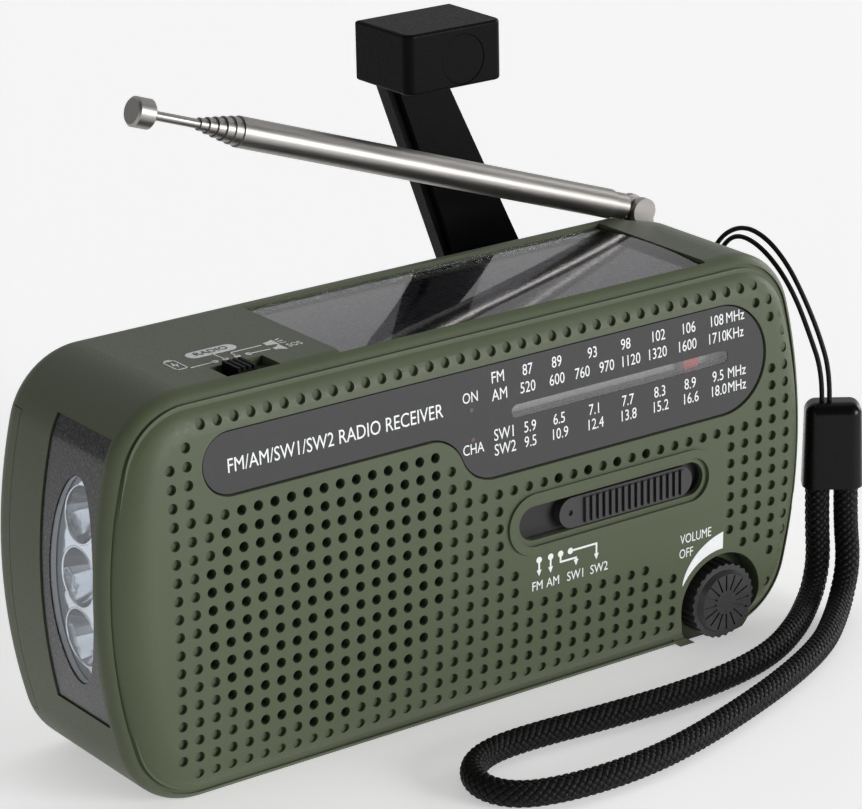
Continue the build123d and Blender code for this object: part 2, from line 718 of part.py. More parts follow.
SPEAKER_PLANE = Plane(origin=(SPEAKER_X, 0, SPEAKER_Z), x_dir=(0, 1, 0), z_dir=(1, 0, 0))
SPEAKER_AXIS = Axis((SPEAKER_X, 0, SPEAKER_Z), (0, 1, 0))
with BuildPart() as speaker_basket:
    with BuildSketch(SPEAKER_PLANE):
        with BuildLine():
            Polyline(
                (-13.4, 15.6),
                (-13.4, SPEAKER_R),
                (-12.0, SPEAKER_R),
                (-5.6, 9.6),
                (-5.6, 9.0),
                (-0.6, 9.0),
                (-0.6, 0),
                (-5.6, 0),
                (-5.6, 4.4),
                (-6.6, 4.4),
                (-6.6, 8.9),
                (-12.2, 15.6),
                (-13.4, 15.6),
            )
        make_face()
    revolve(axis=SPEAKER_AXIS)
save(speaker_basket, "speaker_basket")

with BuildPart() as speaker_cone:
    with BuildSketch(SPEAKER_PLANE):
        with BuildLine():
            Polyline(
                (-12.9, 15.3),
                (-12.6, 15.3),
                (-7.0, 4.2),
                (-7.0, 0),
                (-7.6, 0),
                (-7.6, 4.2),
                (-12.9, 15.3),
            )
        make_face()
    revolve(axis=SPEAKER_AXIS)
save(speaker_cone, "speaker_cone")

# ---------------------------------------------------------------- top face
with BuildPart() as solar_cell:
    with BuildSketch(Plane.XY.offset(SOLAR_FLOOR_Z)):
        with Locations(((SOLAR_X0 + SOLAR_X1) / 2, 0)):
            Rectangle(SOLAR_X1 - SOLAR_X0 - 0.6, 2 * SOLAR_Y - 0.6)
    extrude(amount=0.9)
save(solar_cell, "solar_cell")

COVER_Z = SOLAR_FLOOR_Z + 0.92
COVER_SAG = 0.45
with BuildPart() as solar_cover:
    with BuildSketch(Plane.YZ.offset(SOLAR_X0 + 0.15)):
        with BuildLine():
            Line((-SOLAR_Y + 0.15, COVER_Z), (SOLAR_Y - 0.15, COVER_Z))
            Line((SOLAR_Y - 0.15, COVER_Z), (SOLAR_Y - 0.15, COVER_Z + 0.6))
            ThreePointArc(
                (SOLAR_Y - 0.15, COVER_Z + 0.6),
                (0, COVER_Z + 0.6 + COVER_SAG),
                (-SOLAR_Y + 0.15, COVER_Z + 0.6),
            )
            Line((-SOLAR_Y + 0.15, COVER_Z + 0.6), (-SOLAR_Y + 0.15, COVER_Z))
        make_face()
    extrude(amount=SOLAR_X1 - SOLAR_X0 - 0.3)
save(solar_cover, "solar_cover")

with BuildPart() as mode_knob:
    with BuildSketch(Plane.XY.offset(61.65)):
        with Locations((MODE_KNOB_X, MODE_Y)):
            Rectangle(3.2, MODE_W - 0.5)
    extrude(amount=2.0)
    with BuildSketch(Plane.XY.offset(63.1)):
        with Locations((MODE_KNOB_X, MODE_Y)):
            with GridLocations(0.9, 0, 3, 1):
                Rectangle(0.35, MODE_W)
    extrude(amount=1, mode=Mode.SUBTRACT)
    add(block(MODE_KNOB_X - 0.9, MODE_KNOB_X + 0.9, MODE_Y - 0.8, MODE_Y + 0.8, 58.2, 61.65))
save(mode_knob, "mode_knob")

with BuildPart() as mode_switch:
    add(block(-45.5, -29.0, -12.1, -6.4, 53.0, 60.4))
    add(
        block(MODE_X0 - 0.3, MODE_X1 + 1.1, MODE_Y - 1.0, MODE_Y + 1.0, 57.8, 61),
        mode=Mode.SUBTRACT,
    )
save(mode_switch, "mode_switch")

# ---------------------------------------------------------------- lamp
LAMP_GAP = 0.15
with BuildPart() as lamp_bezel:
    add(case_slab(LAMP_Y1 - LAMP_GAP, LAMP_Y0 + LAMP_GAP, 0.25))
    add(
        block(-CASE_W, -55, -20, 20, LAMP_Z0 + LAMP_GAP, LAMP_Z1 - LAMP_GAP),
        mode=Mode.INTERSECT,
    )
    add(case_slab(20, -20, 2.2), mode=Mode.SUBTRACT)
    with BuildSketch(Plane.YZ.offset(-CASE_W)):
        with Locations((LAMP_Y, LAMP_OVAL_Z)):
            Ellipse(6.2, 15.8)
    extrude(amount=CASE_W - 40, mode=Mode.SUBTRACT)
save(lamp_bezel, "lamp_bezel")

with BuildPart() as lamp_lens:
    add(case_slab(10, -20, 0.45))
    with BuildSketch(Plane.YZ.offset(-CASE_W)):
        with Locations((LAMP_Y, LAMP_OVAL_Z)):
            Ellipse(6.1, 15.7)
    extrude(amount=CASE_W - 40, mode=Mode.INTERSECT)
    add(case_slab(20, -20, 1.3), mode=Mode.SUBTRACT)
save(lamp_lens, "lamp_lens")

CUP_X0 = -62.0
CUP_X1 = -56.4
CUP_MOUTH_X = -64.0
with BuildPart() as lamp_oval:
    with BuildSketch(Plane.YZ.offset(CUP_X1)):
        with Locations((LAMP_Y, LAMP_OVAL_Z)):
            Ellipse(6.0, 15.6)
    extrude(amount=-(CASE_W / 2 + CUP_X1))
    add(case_slab(20, -20, 1.45), mode=Mode.INTERSECT)

with BuildPart() as lamp_reflector:
    with BuildSketch(Plane.YZ.offset(CUP_X1)):
        with Locations((LAMP_Y, LAMP_OVAL_Z + 0.6)):
            RectangleRounded(12.6, 33, 3)
    extrude(amount=CUP_X0 - CUP_X1)
    add(case_slab(20, -20, 2.4), mode=Mode.INTERSECT)
    add(lamp_oval.part)
    for z in LED_Z:
        with BuildSketch(Plane.YZ.offset(CUP_MOUTH_X)):
            with Locations((LAMP_Y, z)):
                Circle(4.7)
        extrude(amount=CUP_X1 - CUP_MOUTH_X + 0.6, taper=16, mode=Mode.SUBTRACT)
save(lamp_reflector, "lamp_reflector")

with BuildPart() as lamp_leds:
    for z in LED_Z:
        with BuildSketch(Plane.YZ.offset(-55.2)):
            with Locations((LAMP_Y, z)):
                Circle(2.0)
        extrude(amount=-3.0)
        with BuildSketch(Plane.YZ.offset(-58.2)):
            with Locations((LAMP_Y, z)):
                Circle(2.0)
        extrude(amount=-1.4, taper=35)
save(lamp_leds, "lamp_leds")

with BuildPart() as lamp_board:
    add(block(-55.15, -53.95, LAMP_Y - 5.6, LAMP_Y + 5.6, LAMP_OVAL_Z - 16, LAMP_OVAL_Z + 16))
save(lamp_board, "lamp_board")

with BuildPart() as indicator_leds:
    for z in (50.2, 45.3):
        with BuildSketch(front_plane(LEDGE_Y + 2.4)):
            with Locations((-1.9, z)):
                Circle(1.0)
        extrude(amount=2.3)
save(indicator_leds, "indicator_leds")

# ---------------------------------------------------------------- crank gearbox
STEP_X = HUB_X - (DRIVE_TEETH + STEP_PINION_TEETH) * GEAR_MODULE / 2 - 0.05
DYNAMO_X = STEP_X - (STEP_TEETH + DYNAMO_TEETH) * GEAR_MODULE / 2 - 0.05


def rear_disc(x, z, y0, y1, radius):
    """A round bar along Y between two depths."""
    with BuildPart(mode=Mode.PRIVATE) as disc:
        with BuildSketch(front_plane(y1)):
            with Locations((x, z)):
                Circle(radius)
        extrude(amount=y1 - y0)
    return disc.part


def rear_gear(x, z, y0, y1, teeth, turn=0.0):
    """A spur gear on a Y axis between two depths."""
    with BuildPart(mode=Mode.PRIVATE) as gear:
        with BuildSketch(front_plane(y1)):
            with Locations(Location((x, z), turn)):
                add(gear_teeth(teeth, GEAR_MODULE))
        extrude(amount=y1 - y0)
    return gear.part


with BuildPart() as drive_gear:
    add(rear_gear(HUB_X, HUB_Z, 11.2, 14.6, DRIVE_TEETH))
    add(rear_disc(HUB_X, HUB_Z, 10, 16, 2.5), mode=Mode.SUBTRACT)
save(drive_gear, "drive_gear")

with BuildPart() as step_gear:
    add(rear_gear(STEP_X, HUB_Z, 11.0, 14.6, STEP_PINION_TEETH, 15.0))
    add(rear_gear(STEP_X, HUB_Z, 8.4, 10.6, STEP_TEETH))
    add(rear_disc(STEP_X, HUB_Z, 8.2, 14.7, 0.8), mode=Mode.SUBTRACT)
    add(rear_disc(STEP_X, HUB_Z, 10.6, 11.0, 2.2))
    add(rear_disc(STEP_X, HUB_Z, 8.2, 14.7, 0.8), mode=Mode.SUBTRACT)
save(step_gear, "step_gear")

with BuildPart() as dynamo_rotor:
    add(rear_gear(DYNAMO_X, HUB_Z, 8.4, 10.8, DYNAMO_TEETH, 18.0))
    add(rear_disc(DYNAMO_X, HUB_Z, 0.4, 8.4, 0.75))
    add(rear_disc(DYNAMO_X, HUB_Z, 0.9, 4.6, 7.0))
save(dynamo_rotor, "dynamo_rotor")

with BuildPart() as dynamo_case:
    add(rear_disc(DYNAMO_X, HUB_Z, -1.2, 5.8, 9.6))
    add(rear_disc(DYNAMO_X, HUB_Z, 0.2, 5.0, 8.0), mode=Mode.SUBTRACT)
    add(rear_disc(DYNAMO_X, HUB_Z, 0.1, 6.8, 0.83), mode=Mode.SUBTRACT)
save(dynamo_case, "dynamo_case")

with BuildPart() as gear_bracket:
    add(block(DYNAMO_X - 9, HUB_X + 11.6, 6.0, 7.5, HUB_Z - 10, HUB_Z + 10))
    add(rear_disc(DYNAMO_X, HUB_Z, 5, 9, 1.2), mode=Mode.SUBTRACT)
    add(rear_disc(HUB_X, HUB_Z, 5, 9, 1.55), mode=Mode.SUBTRACT)
    for x in (DYNAMO_X - 7.5, HUB_X + 10.4):
        for z in (HUB_Z - 8.9, HUB_Z + 8.9):
            add(rear_disc(x, z, 7.4, REAR_INNER_Y - 0.02, 1.1))
    add(rear_disc(STEP_X, HUB_Z, 7.4, REAR_INNER_Y - 0.02, 0.75))
save(gear_bracket, "gear_bracket")

with BuildPart() as crank_bush:
    add(rear_disc(HUB_X, HUB_Z, 15.2, 24.4, 4.95))
    add(rear_disc(HUB_X, HUB_Z, 15, 25, 3.05), mode=Mode.SUBTRACT)
save(crank_bush, "crank_bush")

# ---------------------------------------------------------------- crank
LEAN = radians(CRANK_LEAN)
ALONG = Vector(-sin(LEAN), 0, cos(LEAN))
ACROSS = Vector(cos(LEAN), 0, sin(LEAN))
HUB_TOP_Y = 27.8
HINGE_R = 2.6
EAR_T = 3.0
EAR_IN = 4.1
ARM_HALF_ROOT = 7.35
ARM_HALF_TIP = 4.4
ARM_END = 59.8
ARM_LEDGE = 1.4
ARM_TIP_R = 2.6


def arm_plane(y):
    """Plane facing the front at depth y, with x across the arm and y along it, from the hub."""
    return Plane(origin=(HUB_X, y, HUB_Z), x_dir=ACROSS, z_dir=(0, -1, 0))


HINGE_PLANE = Plane(origin=(HUB_X, ARM_Y, HUB_Z), x_dir=ALONG, z_dir=ACROSS)
with BuildPart() as crank_hub:
    add(rear_disc(HUB_X, HUB_Z, 24.8, HUB_TOP_Y, 11))
    fillet(crank_hub.faces().sort_by(Axis.Y)[-1].edges(), 1.0)
    add(rear_disc(HUB_X, HUB_Z, 8.4, 24.9, 3.0))
    add(rear_disc(HUB_X, HUB_Z, 6.2, 8.5, 1.5))
    add(rear_disc(HUB_X, HUB_Z, 8.3, 15.0, 4), mode=Mode.SUBTRACT)
    add(rear_disc(HUB_X, HUB_Z, 6.2, 15.1, 1.5))
    add(rear_disc(HUB_X, HUB_Z, 11.2, 15.1, 2.46))
    for side in (-1, 1):
        with BuildSketch(HINGE_PLANE.offset(side * (EAR_IN + EAR_T / 2))):
            Circle(HINGE_R + 0.2)
            with Locations((0, (HUB_TOP_Y - ARM_Y) / 2 * -1)):
                Rectangle(2 * HINGE_R + 0.4, ARM_Y - HUB_TOP_Y + 0.4)
            Circle(1.05, mode=Mode.SUBTRACT)
        extrude(amount=EAR_T / 2, both=True)
save(crank_hub, "crank_hub")

with BuildPart() as crank_arm:
    with BuildSketch(arm_plane(ARM_Y + ARM_T)) as arm_back:
        with BuildLine():
            Polyline(
                (-ARM_HALF_ROOT, 3.3), (ARM_HALF_ROOT, 3.3), (ARM_HALF_TIP, ARM_END),
                (-ARM_HALF_TIP, ARM_END), (-ARM_HALF_ROOT, 3.3),
            )
        make_face()
        fillet(arm_back.vertices().sort_by(Axis.Y)[-2:], ARM_TIP_R)
    extrude(amount=ARM_T - 1.3)
    with BuildSketch(arm_plane(ARM_Y + 1.4)) as arm_front:
        with BuildLine():
            Polyline(
                (-ARM_HALF_ROOT + ARM_LEDGE, 3.3), (ARM_HALF_ROOT, 3.3), (ARM_HALF_TIP, ARM_END),
                (-ARM_HALF_TIP + ARM_LEDGE, ARM_END), (-ARM_HALF_ROOT + ARM_LEDGE, 3.3),
            )
        make_face()
        fillet(arm_front.vertices().sort_by(Axis.Y)[-2:], ARM_TIP_R)
    extrude(amount=1.4)
    with BuildSketch(HINGE_PLANE):
        Circle(HINGE_R)
    extrude(amount=EAR_IN - 0.15, both=True)
    with BuildSketch(arm_plane(ARM_Y + ARM_T)):
        with Locations((0, 2.2)):
            Rectangle(2 * EAR_IN - 0.3, 4.4)
    extrude(amount=ARM_T)
    with BuildSketch(HINGE_PLANE):
        Circle(1.05)
    extrude(amount=EAR_IN + 6, both=True, mode=Mode.SUBTRACT)
    add(rear_disc(KNOB_X, KNOB_Z, 30, 40, 1.5), mode=Mode.SUBTRACT)
save(crank_arm, "crank_arm")

with BuildPart() as crank_hinge_pin:
    with BuildSketch(HINGE_PLANE):
        Circle(1.0)
    extrude(amount=EAR_IN + EAR_T, both=True)
save(crank_hinge_pin, "crank_hinge_pin")

KNOB_X0 = 12.0
KNOB_X1 = 30.2
KNOB_Z0 = 88.4
KNOB_Z1 = 98.0
KNOB_Y1 = ARM_Y - 0.25
CAP_R = 3.9
with BuildPart() as crank_knob:
    with BuildSketch(front_plane(KNOB_Y1)):
        with Locations(((KNOB_X0 + KNOB_X1) / 2, (KNOB_Z0 + KNOB_Z1) / 2)):
            Rectangle(KNOB_X1 - KNOB_X0, KNOB_Z1 - KNOB_Z0)
    extrude(amount=KNOB_Y1 - KNOB_Y0)
    fillet(crank_knob.edges().filter_by(Axis.Z).sort_by(Axis.Y)[:2], 1.6)
    fillet(crank_knob.faces().sort_by(Axis.Z)[-1].edges(), 0.5)
    fillet(crank_knob.faces().sort_by(Axis.Z)[0].edges(), 0.5)
    add(rear_disc(KNOB_X, KNOB_Z, 17, KNOB_Y0 + 1.6, CAP_R + 0.1), mode=Mode.SUBTRACT)
    add(rear_disc(KNOB_X, KNOB_Z, 17, 40, 1.6), mode=Mode.SUBTRACT)
save(crank_knob, "crank_knob")

with BuildPart() as knob_pin:
    add(rear_disc(KNOB_X, KNOB_Z, KNOB_Y0 + 0.1, KNOB_Y0 + 1.4, CAP_R))
    add(rear_disc(KNOB_X, KNOB_Z, KNOB_Y0 + 1.3, ARM_Y + ARM_T - 0.3, 1.5))
save(knob_pin, "knob_pin")

# ---------------------------------------------------------------- antenna
SLOPE = radians(MAST_SLOPE)
MAST = Plane(
    origin=(MAST_X, MAST_Y, MAST_Z), x_dir=(0, 1, 0), z_dir=(-cos(SLOPE), 0, sin(SLOPE))
)
MAST_SIDE = Plane(origin=(MAST_X, MAST_Y, MAST_Z), x_dir=(1, 0, 0), z_dir=(0, -1, 0))

with BuildPart() as antenna_clevis:
    with BuildSketch(Plane.XY.offset(53.8)):
        with Locations((MAST_X, MAST_Y)):
            Circle(2.0)
    extrude(amount=7.0)
    with BuildSketch(Plane.XY.offset(60.7)):
        with Locations((MAST_X, MAST_Y)):
            Circle(2.35)
    extrude(amount=0.7)
    with BuildSketch(MAST_SIDE):
        Circle(2.2)
        with Locations((0, -1.1)):
            Rectangle(3.6, 2.2)
    extrude(amount=2.2, both=True)
    with BuildSketch(MAST_SIDE):
        Rectangle(12, 8)
    extrude(amount=0.95, both=True, mode=Mode.SUBTRACT)
    with BuildSketch(Plane.XY.offset(60.7)):
        with Locations((MAST_X, MAST_Y)):
            Circle(2.35)
    extrude(amount=0.6)
    # the riveted pin that joins its two ears
    with BuildSketch(MAST_SIDE):
        Circle(0.6)
    extrude(amount=2.2, both=True)
save(antenna_clevis, "antenna_clevis")


def antenna_rod(z0, z1, outer_r, inner_r=0.0):
    """A tube or rod on the antenna's line between two distances from its pivot."""
    with BuildPart(mode=Mode.PRIVATE) as tube:
        with BuildSketch(MAST.offset(z0)):
            Circle(outer_r)
            if inner_r:
                Circle(inner_r, mode=Mode.SUBTRACT)
        extrude(amount=z1 - z0)
    return tube.part


with BuildPart() as antenna_tube_1:
    add(antenna_rod(TUBE_START, TUBE_END, TUBE_D[0] / 2))
    add(antenna_rod(TUBE_START + 3.5, TUBE_END + 1, TUBE_D[0] / 2 - TUBE_WALL), mode=Mode.SUBTRACT)
    add(antenna_rod(3.2, TUBE_START + 0.1, TUBE_D[0] / 2 - 0.25))
    with BuildSketch(MAST_SIDE):
        Circle(1.9)
        with Locations(Location((0, 0), 180 - MAST_SLOPE)):
            with Locations((2.2, 0)):
                Rectangle(4.4, 3.2)
        Circle(0.62, mode=Mode.SUBTRACT)
    extrude(amount=0.85, both=True)
save(antenna_tube_1, "antenna_tube_1")

for number in range(1, 6):
    start = TUBE_START + 3.5 + TUBE_STEP * number
    end = TUBE_END + TUBE_STEP * number
    outer_r = TUBE_D[number] / 2
    with BuildPart() as antenna_tube:
        add(antenna_rod(start, end, outer_r, outer_r - TUBE_WALL))
    save(antenna_tube, f"antenna_tube_{number + 1}")

ROD_END = 95.6
with BuildPart() as antenna_rod_7:
    add(antenna_rod(TUBE_START + 12, ROD_END + 1.0, ROD_D / 2))
save(antenna_rod_7, "antenna_rod")

with BuildPart() as antenna_tip:
    add(antenna_rod(ROD_END, ROD_END + 3.3, 2.3))
    chamfer(antenna_tip.edges().filter_by(GeomType.CIRCLE), 0.35)
    add(antenna_rod(ROD_END - 1, ROD_END + 1.0, ROD_D / 2), mode=Mode.SUBTRACT)
save(antenna_tip, "antenna_tip")

# ---------------------------------------------------------------- aerial coil, jacks and screws
with BuildPart() as ferrite_rod:
    with BuildSketch(Plane.YZ.offset(-10)):
        with Locations((6.0, 9.5)):
            Circle(3.5)
    extrude(amount=52)
save(ferrite_rod, "ferrite_rod")

with BuildPart() as aerial_coil:
    with BuildSketch(Plane.YZ.offset(8)):
        with Locations((6.0, 9.5)):
            Circle(4.3)
            Circle(3.55, mode=Mode.SUBTRACT)
    extrude(amount=18)
save(aerial_coil, "aerial_coil")

JACK_R = 1.8
JACK_X = 62.6
with BuildPart() as earphone_jack:
    with BuildSketch(Plane.YZ.offset(JACK_X - 13)):
        with Locations((JACK_Y, JACK_Z)):
            Rectangle(6.4, 7)
    extrude(amount=9)
    with BuildSketch(Plane.YZ.offset(JACK_X - 4.1)):
        with Locations((JACK_Y, JACK_Z)):
            Circle(3.0)
    extrude(amount=4.1)
    with BuildSketch(Plane.YZ.offset(JACK_X - 12)):
        with Locations((JACK_Y, JACK_Z)):
            Circle(JACK_R)
    extrude(amount=20, mode=Mode.SUBTRACT)
save(earphone_jack, "earphone_jack")

with BuildPart() as charging_port:
    with BuildSketch(Plane.YZ.offset(56.2)):
        with Locations((JACK_Y, USB_Z)):
            RectangleRounded(3.2, 8.0, 0.6)
            RectangleRounded(2.4, 7.2, 0.4, mode=Mode.SUBTRACT)
    extrude(amount=7.6)
    add(block(56.2, 57.0, JACK_Y - 1.5, JACK_Y + 1.5, USB_Z - 3.9, USB_Z + 3.9))
    add(block(56.2, 62.5, JACK_Y - 0.3, JACK_Y + 0.3, USB_Z - 2.6, USB_Z + 2.6))
save(charging_port, "charging_port")

with BuildPart() as case_screws:
    for x, z in SCREW_SPOTS:
        add(rear_disc(x, z, REAR_Y - 2.6, REAR_Y - 1.2, 1.95))
        add(rear_disc(x, z, -9.0, REAR_Y - 2.6, 1.0))
    with BuildSketch(front_plane(REAR_Y - 1.8)):
        for x, z in SCREW_SPOTS:
            with Locations((x, z)):
                Rectangle(2.4, 0.5)
                Rectangle(0.5, 2.4)
    extrude(amount=-1, mode=Mode.SUBTRACT)
save(case_screws, "case_screws")

# ---------------------------------------------------------------- strap
FERRULE_TURN = degrees(atan2(STRAND_Y, STRAND_X))
with BuildPart() as strap_ferrule:
    with BuildSketch(Plane.XY.offset(FERRULE_Z0)):
        with Locations(Location((FERRULE_X, FERRULE_Y), FERRULE_TURN)):
            RectangleRounded(9.8, 6.4, 2.2)
    extrude(amount=FERRULE_Z1 - FERRULE_Z0, taper=1.5)
    fillet(strap_ferrule.faces().sort_by(Axis.Z)[-1].edges(), 1.9)
save(strap_ferrule, "strap_ferrule")

# The wrist loop: one braided rope from the ferrule, along the ground and back.
ROPE_POINTS = [
    (FERRULE_X - STRAND_X, FERRULE_Y - STRAND_Y, FERRULE_Z0),
    (FERRULE_X - STRAND_X, FERRULE_Y - STRAND_Y, 13.4),
    (70.0, -12.9, 7.6),
    (67.6, -14.6, 3.7),
    (63.4, -17.6, 2.1),
    (56.6, -22.9, 2.1),
    (47.6, -28.2, 2.1),
    (37.0, -31.2, 2.1),
    (24.2, -32.1, 2.1),
    (11.0, -31.5, 2.1),
    (-1.5, -30.2, 2.1),
    (-10.4, -30.5, 2.1),
    (-15.9, -33.9, 2.1),
    (-18.4, -39.6, 2.1),
    (-15.9, -45.2, 2.1),
    (-8.9, -47.7, 2.1),
    (1.5, -48.4, 2.1),
    (12.5, -47.1, 2.1),
    (27.0, -43.0, 2.1),
    (42.3, -37.4, 2.1),
    (55.2, -31.0, 2.1),
    (64.0, -24.0, 2.1),
    (69.5, -19.4, 3.2),
    (72.7, -17.2, 7.6),
    (FERRULE_X + STRAND_X, FERRULE_Y + STRAND_Y, 13.8),
    (FERRULE_X + STRAND_X, FERRULE_Y + STRAND_Y, FERRULE_Z0),
]

# The lace: up from the ferrule, round the bar in the strap pocket and back.
LACE_POINTS = [
    (70.9, -12.1, FERRULE_Z1),
    (70.9, -12.1, 39.0),
    (69.6, -10.2, 45.5),
    (68.0, -8.6, 51.5),
    (67.0, -5.4, 56.0),
    (66.4, -1.0, 58.9),
    (65.8, 3.2, 59.6),
    (65.4, 6.2, 57.4),
    (64.6, 7.3, 53.6),
    (62.6, 7.2, 50.6),
    (58.95, 7.15, 49.9),
    (58.95, 9.85, 49.9),
    (62.6, 9.8, 50.6),
    (65.0, 9.4, 54.2),
    (66.2, 7.4, 58.6),
    (66.7, 2.6, 61.0),
    (67.2, -2.4, 60.0),
    (67.8, -6.8, 56.6),
    (68.9, -9.6, 51.6),
    (70.5, -11.6, 45.5),
    (71.9, -12.8, 39.0),
    (71.9, -12.8, FERRULE_Z1),
]


def arc_radii(points):
    """The largest tidy arc at each corner of a route."""
    radii = []
    for before, corner, after in zip(points, points[1:], points[2:]):
        run_in = Vector(*corner) - Vector(*before)
        run_out = Vector(*after) - Vector(*corner)
        turn = radians(run_in.get_angle(run_out))
        radii.append(0.45 * min(run_in.length, run_out.length) / tan(turn / 2))
    return radii


for name, points, diameter in (
    ("strap_rope", ROPE_POINTS, ROPE_D),
    ("strap_lace", LACE_POINTS, LACE_D),
):
    radii = arc_radii(points)
    with BuildPart() as cord:
        with BuildLine():
            route = FilletPolyline(*points, radius=radii)
        with BuildSketch(Plane(origin=route @ 0, z_dir=route % 0)):
            Circle(diameter / 2)
        sweep()
    save(cord, name)
    section = pi * diameter**2 / 4
    print(name, "length", round(route.length, 1), "radii", [round(r, 1) for r in radii])
    print(name, "volume over section times length", round(cord.part.volume / section / route.length, 4))
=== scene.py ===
"""Looks of the hand-crank emergency radio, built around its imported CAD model.

Metres, +Z up, -Y to the front.
"""
import math

import bpy
from mathutils import Matrix, Vector


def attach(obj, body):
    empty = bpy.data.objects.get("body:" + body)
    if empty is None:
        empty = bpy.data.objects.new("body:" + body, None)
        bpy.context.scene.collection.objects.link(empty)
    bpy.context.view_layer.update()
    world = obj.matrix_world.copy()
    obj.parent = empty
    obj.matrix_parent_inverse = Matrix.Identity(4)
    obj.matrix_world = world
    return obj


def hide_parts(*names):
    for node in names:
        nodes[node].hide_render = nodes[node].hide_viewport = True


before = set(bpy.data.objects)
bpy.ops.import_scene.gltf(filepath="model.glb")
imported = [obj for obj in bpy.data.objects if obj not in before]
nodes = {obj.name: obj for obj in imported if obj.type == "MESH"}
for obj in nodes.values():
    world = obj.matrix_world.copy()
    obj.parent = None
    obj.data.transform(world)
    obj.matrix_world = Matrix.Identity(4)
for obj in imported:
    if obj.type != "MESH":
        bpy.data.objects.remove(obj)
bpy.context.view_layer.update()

MM = 0.001

# ---------------------------------------------------------------- camera and stage
CAMERA_AT = (-298.21, -426.51, 230.23)
CAMERA_RIGHT = (0.81313, -0.58173, -0.02019)
CAMERA_DOWN = (-0.20978, -0.26052, -0.9424)
CAMERA_FORWARD = (0.54296, 0.77053, -0.33387)

camera_data = bpy.data.cameras.new("camera")
camera_data.lens = 151.57
camera_data.sensor_width = 36.0
camera_data.clip_start = 0.01
camera_data.clip_end = 50.0
camera = bpy.data.objects.new("camera", camera_data)
bpy.context.collection.objects.link(camera)
turn = Matrix(
    (
        CAMERA_RIGHT,
        tuple(-v for v in CAMERA_DOWN),
        tuple(-v for v in CAMERA_FORWARD),
    )
).transposed()
camera.matrix_world = Matrix.Translation(Vector(CAMERA_AT) * MM) @ turn.to_4x4()
bpy.context.scene.camera = camera
bpy.context.scene.view_settings.view_transform = "Standard"


def mesh_object(name, points, faces, smooth=True):
    """A new mesh object from points in metres."""
    mesh = bpy.data.meshes.new(name)
    mesh.from_pydata([tuple(p) for p in points], [], faces)
    mesh.update()
    if smooth:
        mesh.polygons.foreach_set("use_smooth", [True] * len(mesh.polygons))
    piece = bpy.data.objects.new(name, mesh)
    bpy.context.collection.objects.link(piece)
    return piece


# ---------------------------------------------------------------- node helpers
def new_material(name):
    """A node material and its Principled shader."""
    material = bpy.data.materials.new(name)
    material.use_nodes = True
    return material, material.node_tree.nodes["Principled BSDF"]


def add_node(material, kind, **values):
    """A node with its named inputs set; an underscore stands for a space."""
    node = material.node_tree.nodes.new(kind)
    for key, value in values.items():
        if hasattr(node, key):
            setattr(node, key, value)
        else:
            node.inputs[key.replace("_", " ")].default_value = value
    return node


def link(material, source, target):
    material.node_tree.links.new(source, target)


def place(material, stretch=(1, 1, 1)):
    """Object coordinates, stretched along the axes."""
    coords = add_node(material, "ShaderNodeTexCoord")
    mapping = add_node(material, "ShaderNodeMapping")
    mapping.inputs["Scale"].default_value = stretch
    link(material, coords.outputs["Object"], mapping.inputs["Vector"])
    return mapping.outputs["Vector"]


def noise(material, scale, detail=2.0, stretch=(1, 1, 1)):
    node = add_node(material, "ShaderNodeTexNoise", Scale=scale, Detail=detail)
    link(material, place(material, stretch), node.inputs["Vector"])
    return node.outputs["Fac"]


def spread(material, value, low, high, in_low=0.3, in_high=0.7):
    """Map a value onto another range."""
    node = add_node(material, "ShaderNodeMapRange")
    node.inputs["From Min"].default_value = in_low
    node.inputs["From Max"].default_value = in_high
    node.inputs["To Min"].default_value = low
    node.inputs["To Max"].default_value = high
    link(material, value, node.inputs["Value"])
    return node.outputs["Result"]


def mix_colour(material, factor, first, second):
    """Mix two colours, each a tuple or a socket."""
    node = add_node(material, "ShaderNodeMix", data_type="RGBA")
    link(material, factor, node.inputs["Factor"])
    first_socket, second_socket = [s for s in node.inputs if s.type == "RGBA"]
    for socket, colour in ((first_socket, first), (second_socket, second)):
        if isinstance(colour, tuple):
            socket.default_value = (*colour, 1.0)
        else:
            link(material, colour, socket)
    return [s for s in node.outputs if s.type == "RGBA"][0]


def math_node(material, operation, first, second=None):
    node = add_node(material, "ShaderNodeMath", operation=operation)
    for socket, value in zip(node.inputs, (first, second)):
        if value is None:
            continue
        if isinstance(value, (int, float)):
            socket.default_value = value
        else:
            link(material, value, socket)
    return node.outputs["Value"]


def bump(material, shader, height, strength, distance):
    node = add_node(material, "ShaderNodeBump", Strength=strength, Distance=distance)
    link(material, height, node.inputs["Height"])
    link(material, node.outputs["Normal"], shader.inputs["Normal"])


def plastic(name, colour, roughness, grain, grain_depth, mottle=0.12, coat=0.0, specular=0.5):
    """Moulded plastic: a fine grain, faint mottling and uneven gloss."""
    material, shader = new_material(name)
    dark = tuple(c * (1 - mottle) for c in colour)
    light = tuple(c * (1 + mottle) for c in colour)
    cloud = noise(material, 60, 3)
    link(material, mix_colour(material, cloud, dark, light), shader.inputs["Base Color"])
    fine = noise(material, grain, 2)
    gloss = spread(material, fine, roughness - 0.05, roughness + 0.07)
    link(material, gloss, shader.inputs["Roughness"])
    bump(material, shader, fine, 0.35, grain_depth)
    shader.inputs["Coat Weight"].default_value = coat
    shader.inputs["Coat Roughness"].default_value = 0.08
    shader.inputs["Specular IOR Level"].default_value = specular
    return material


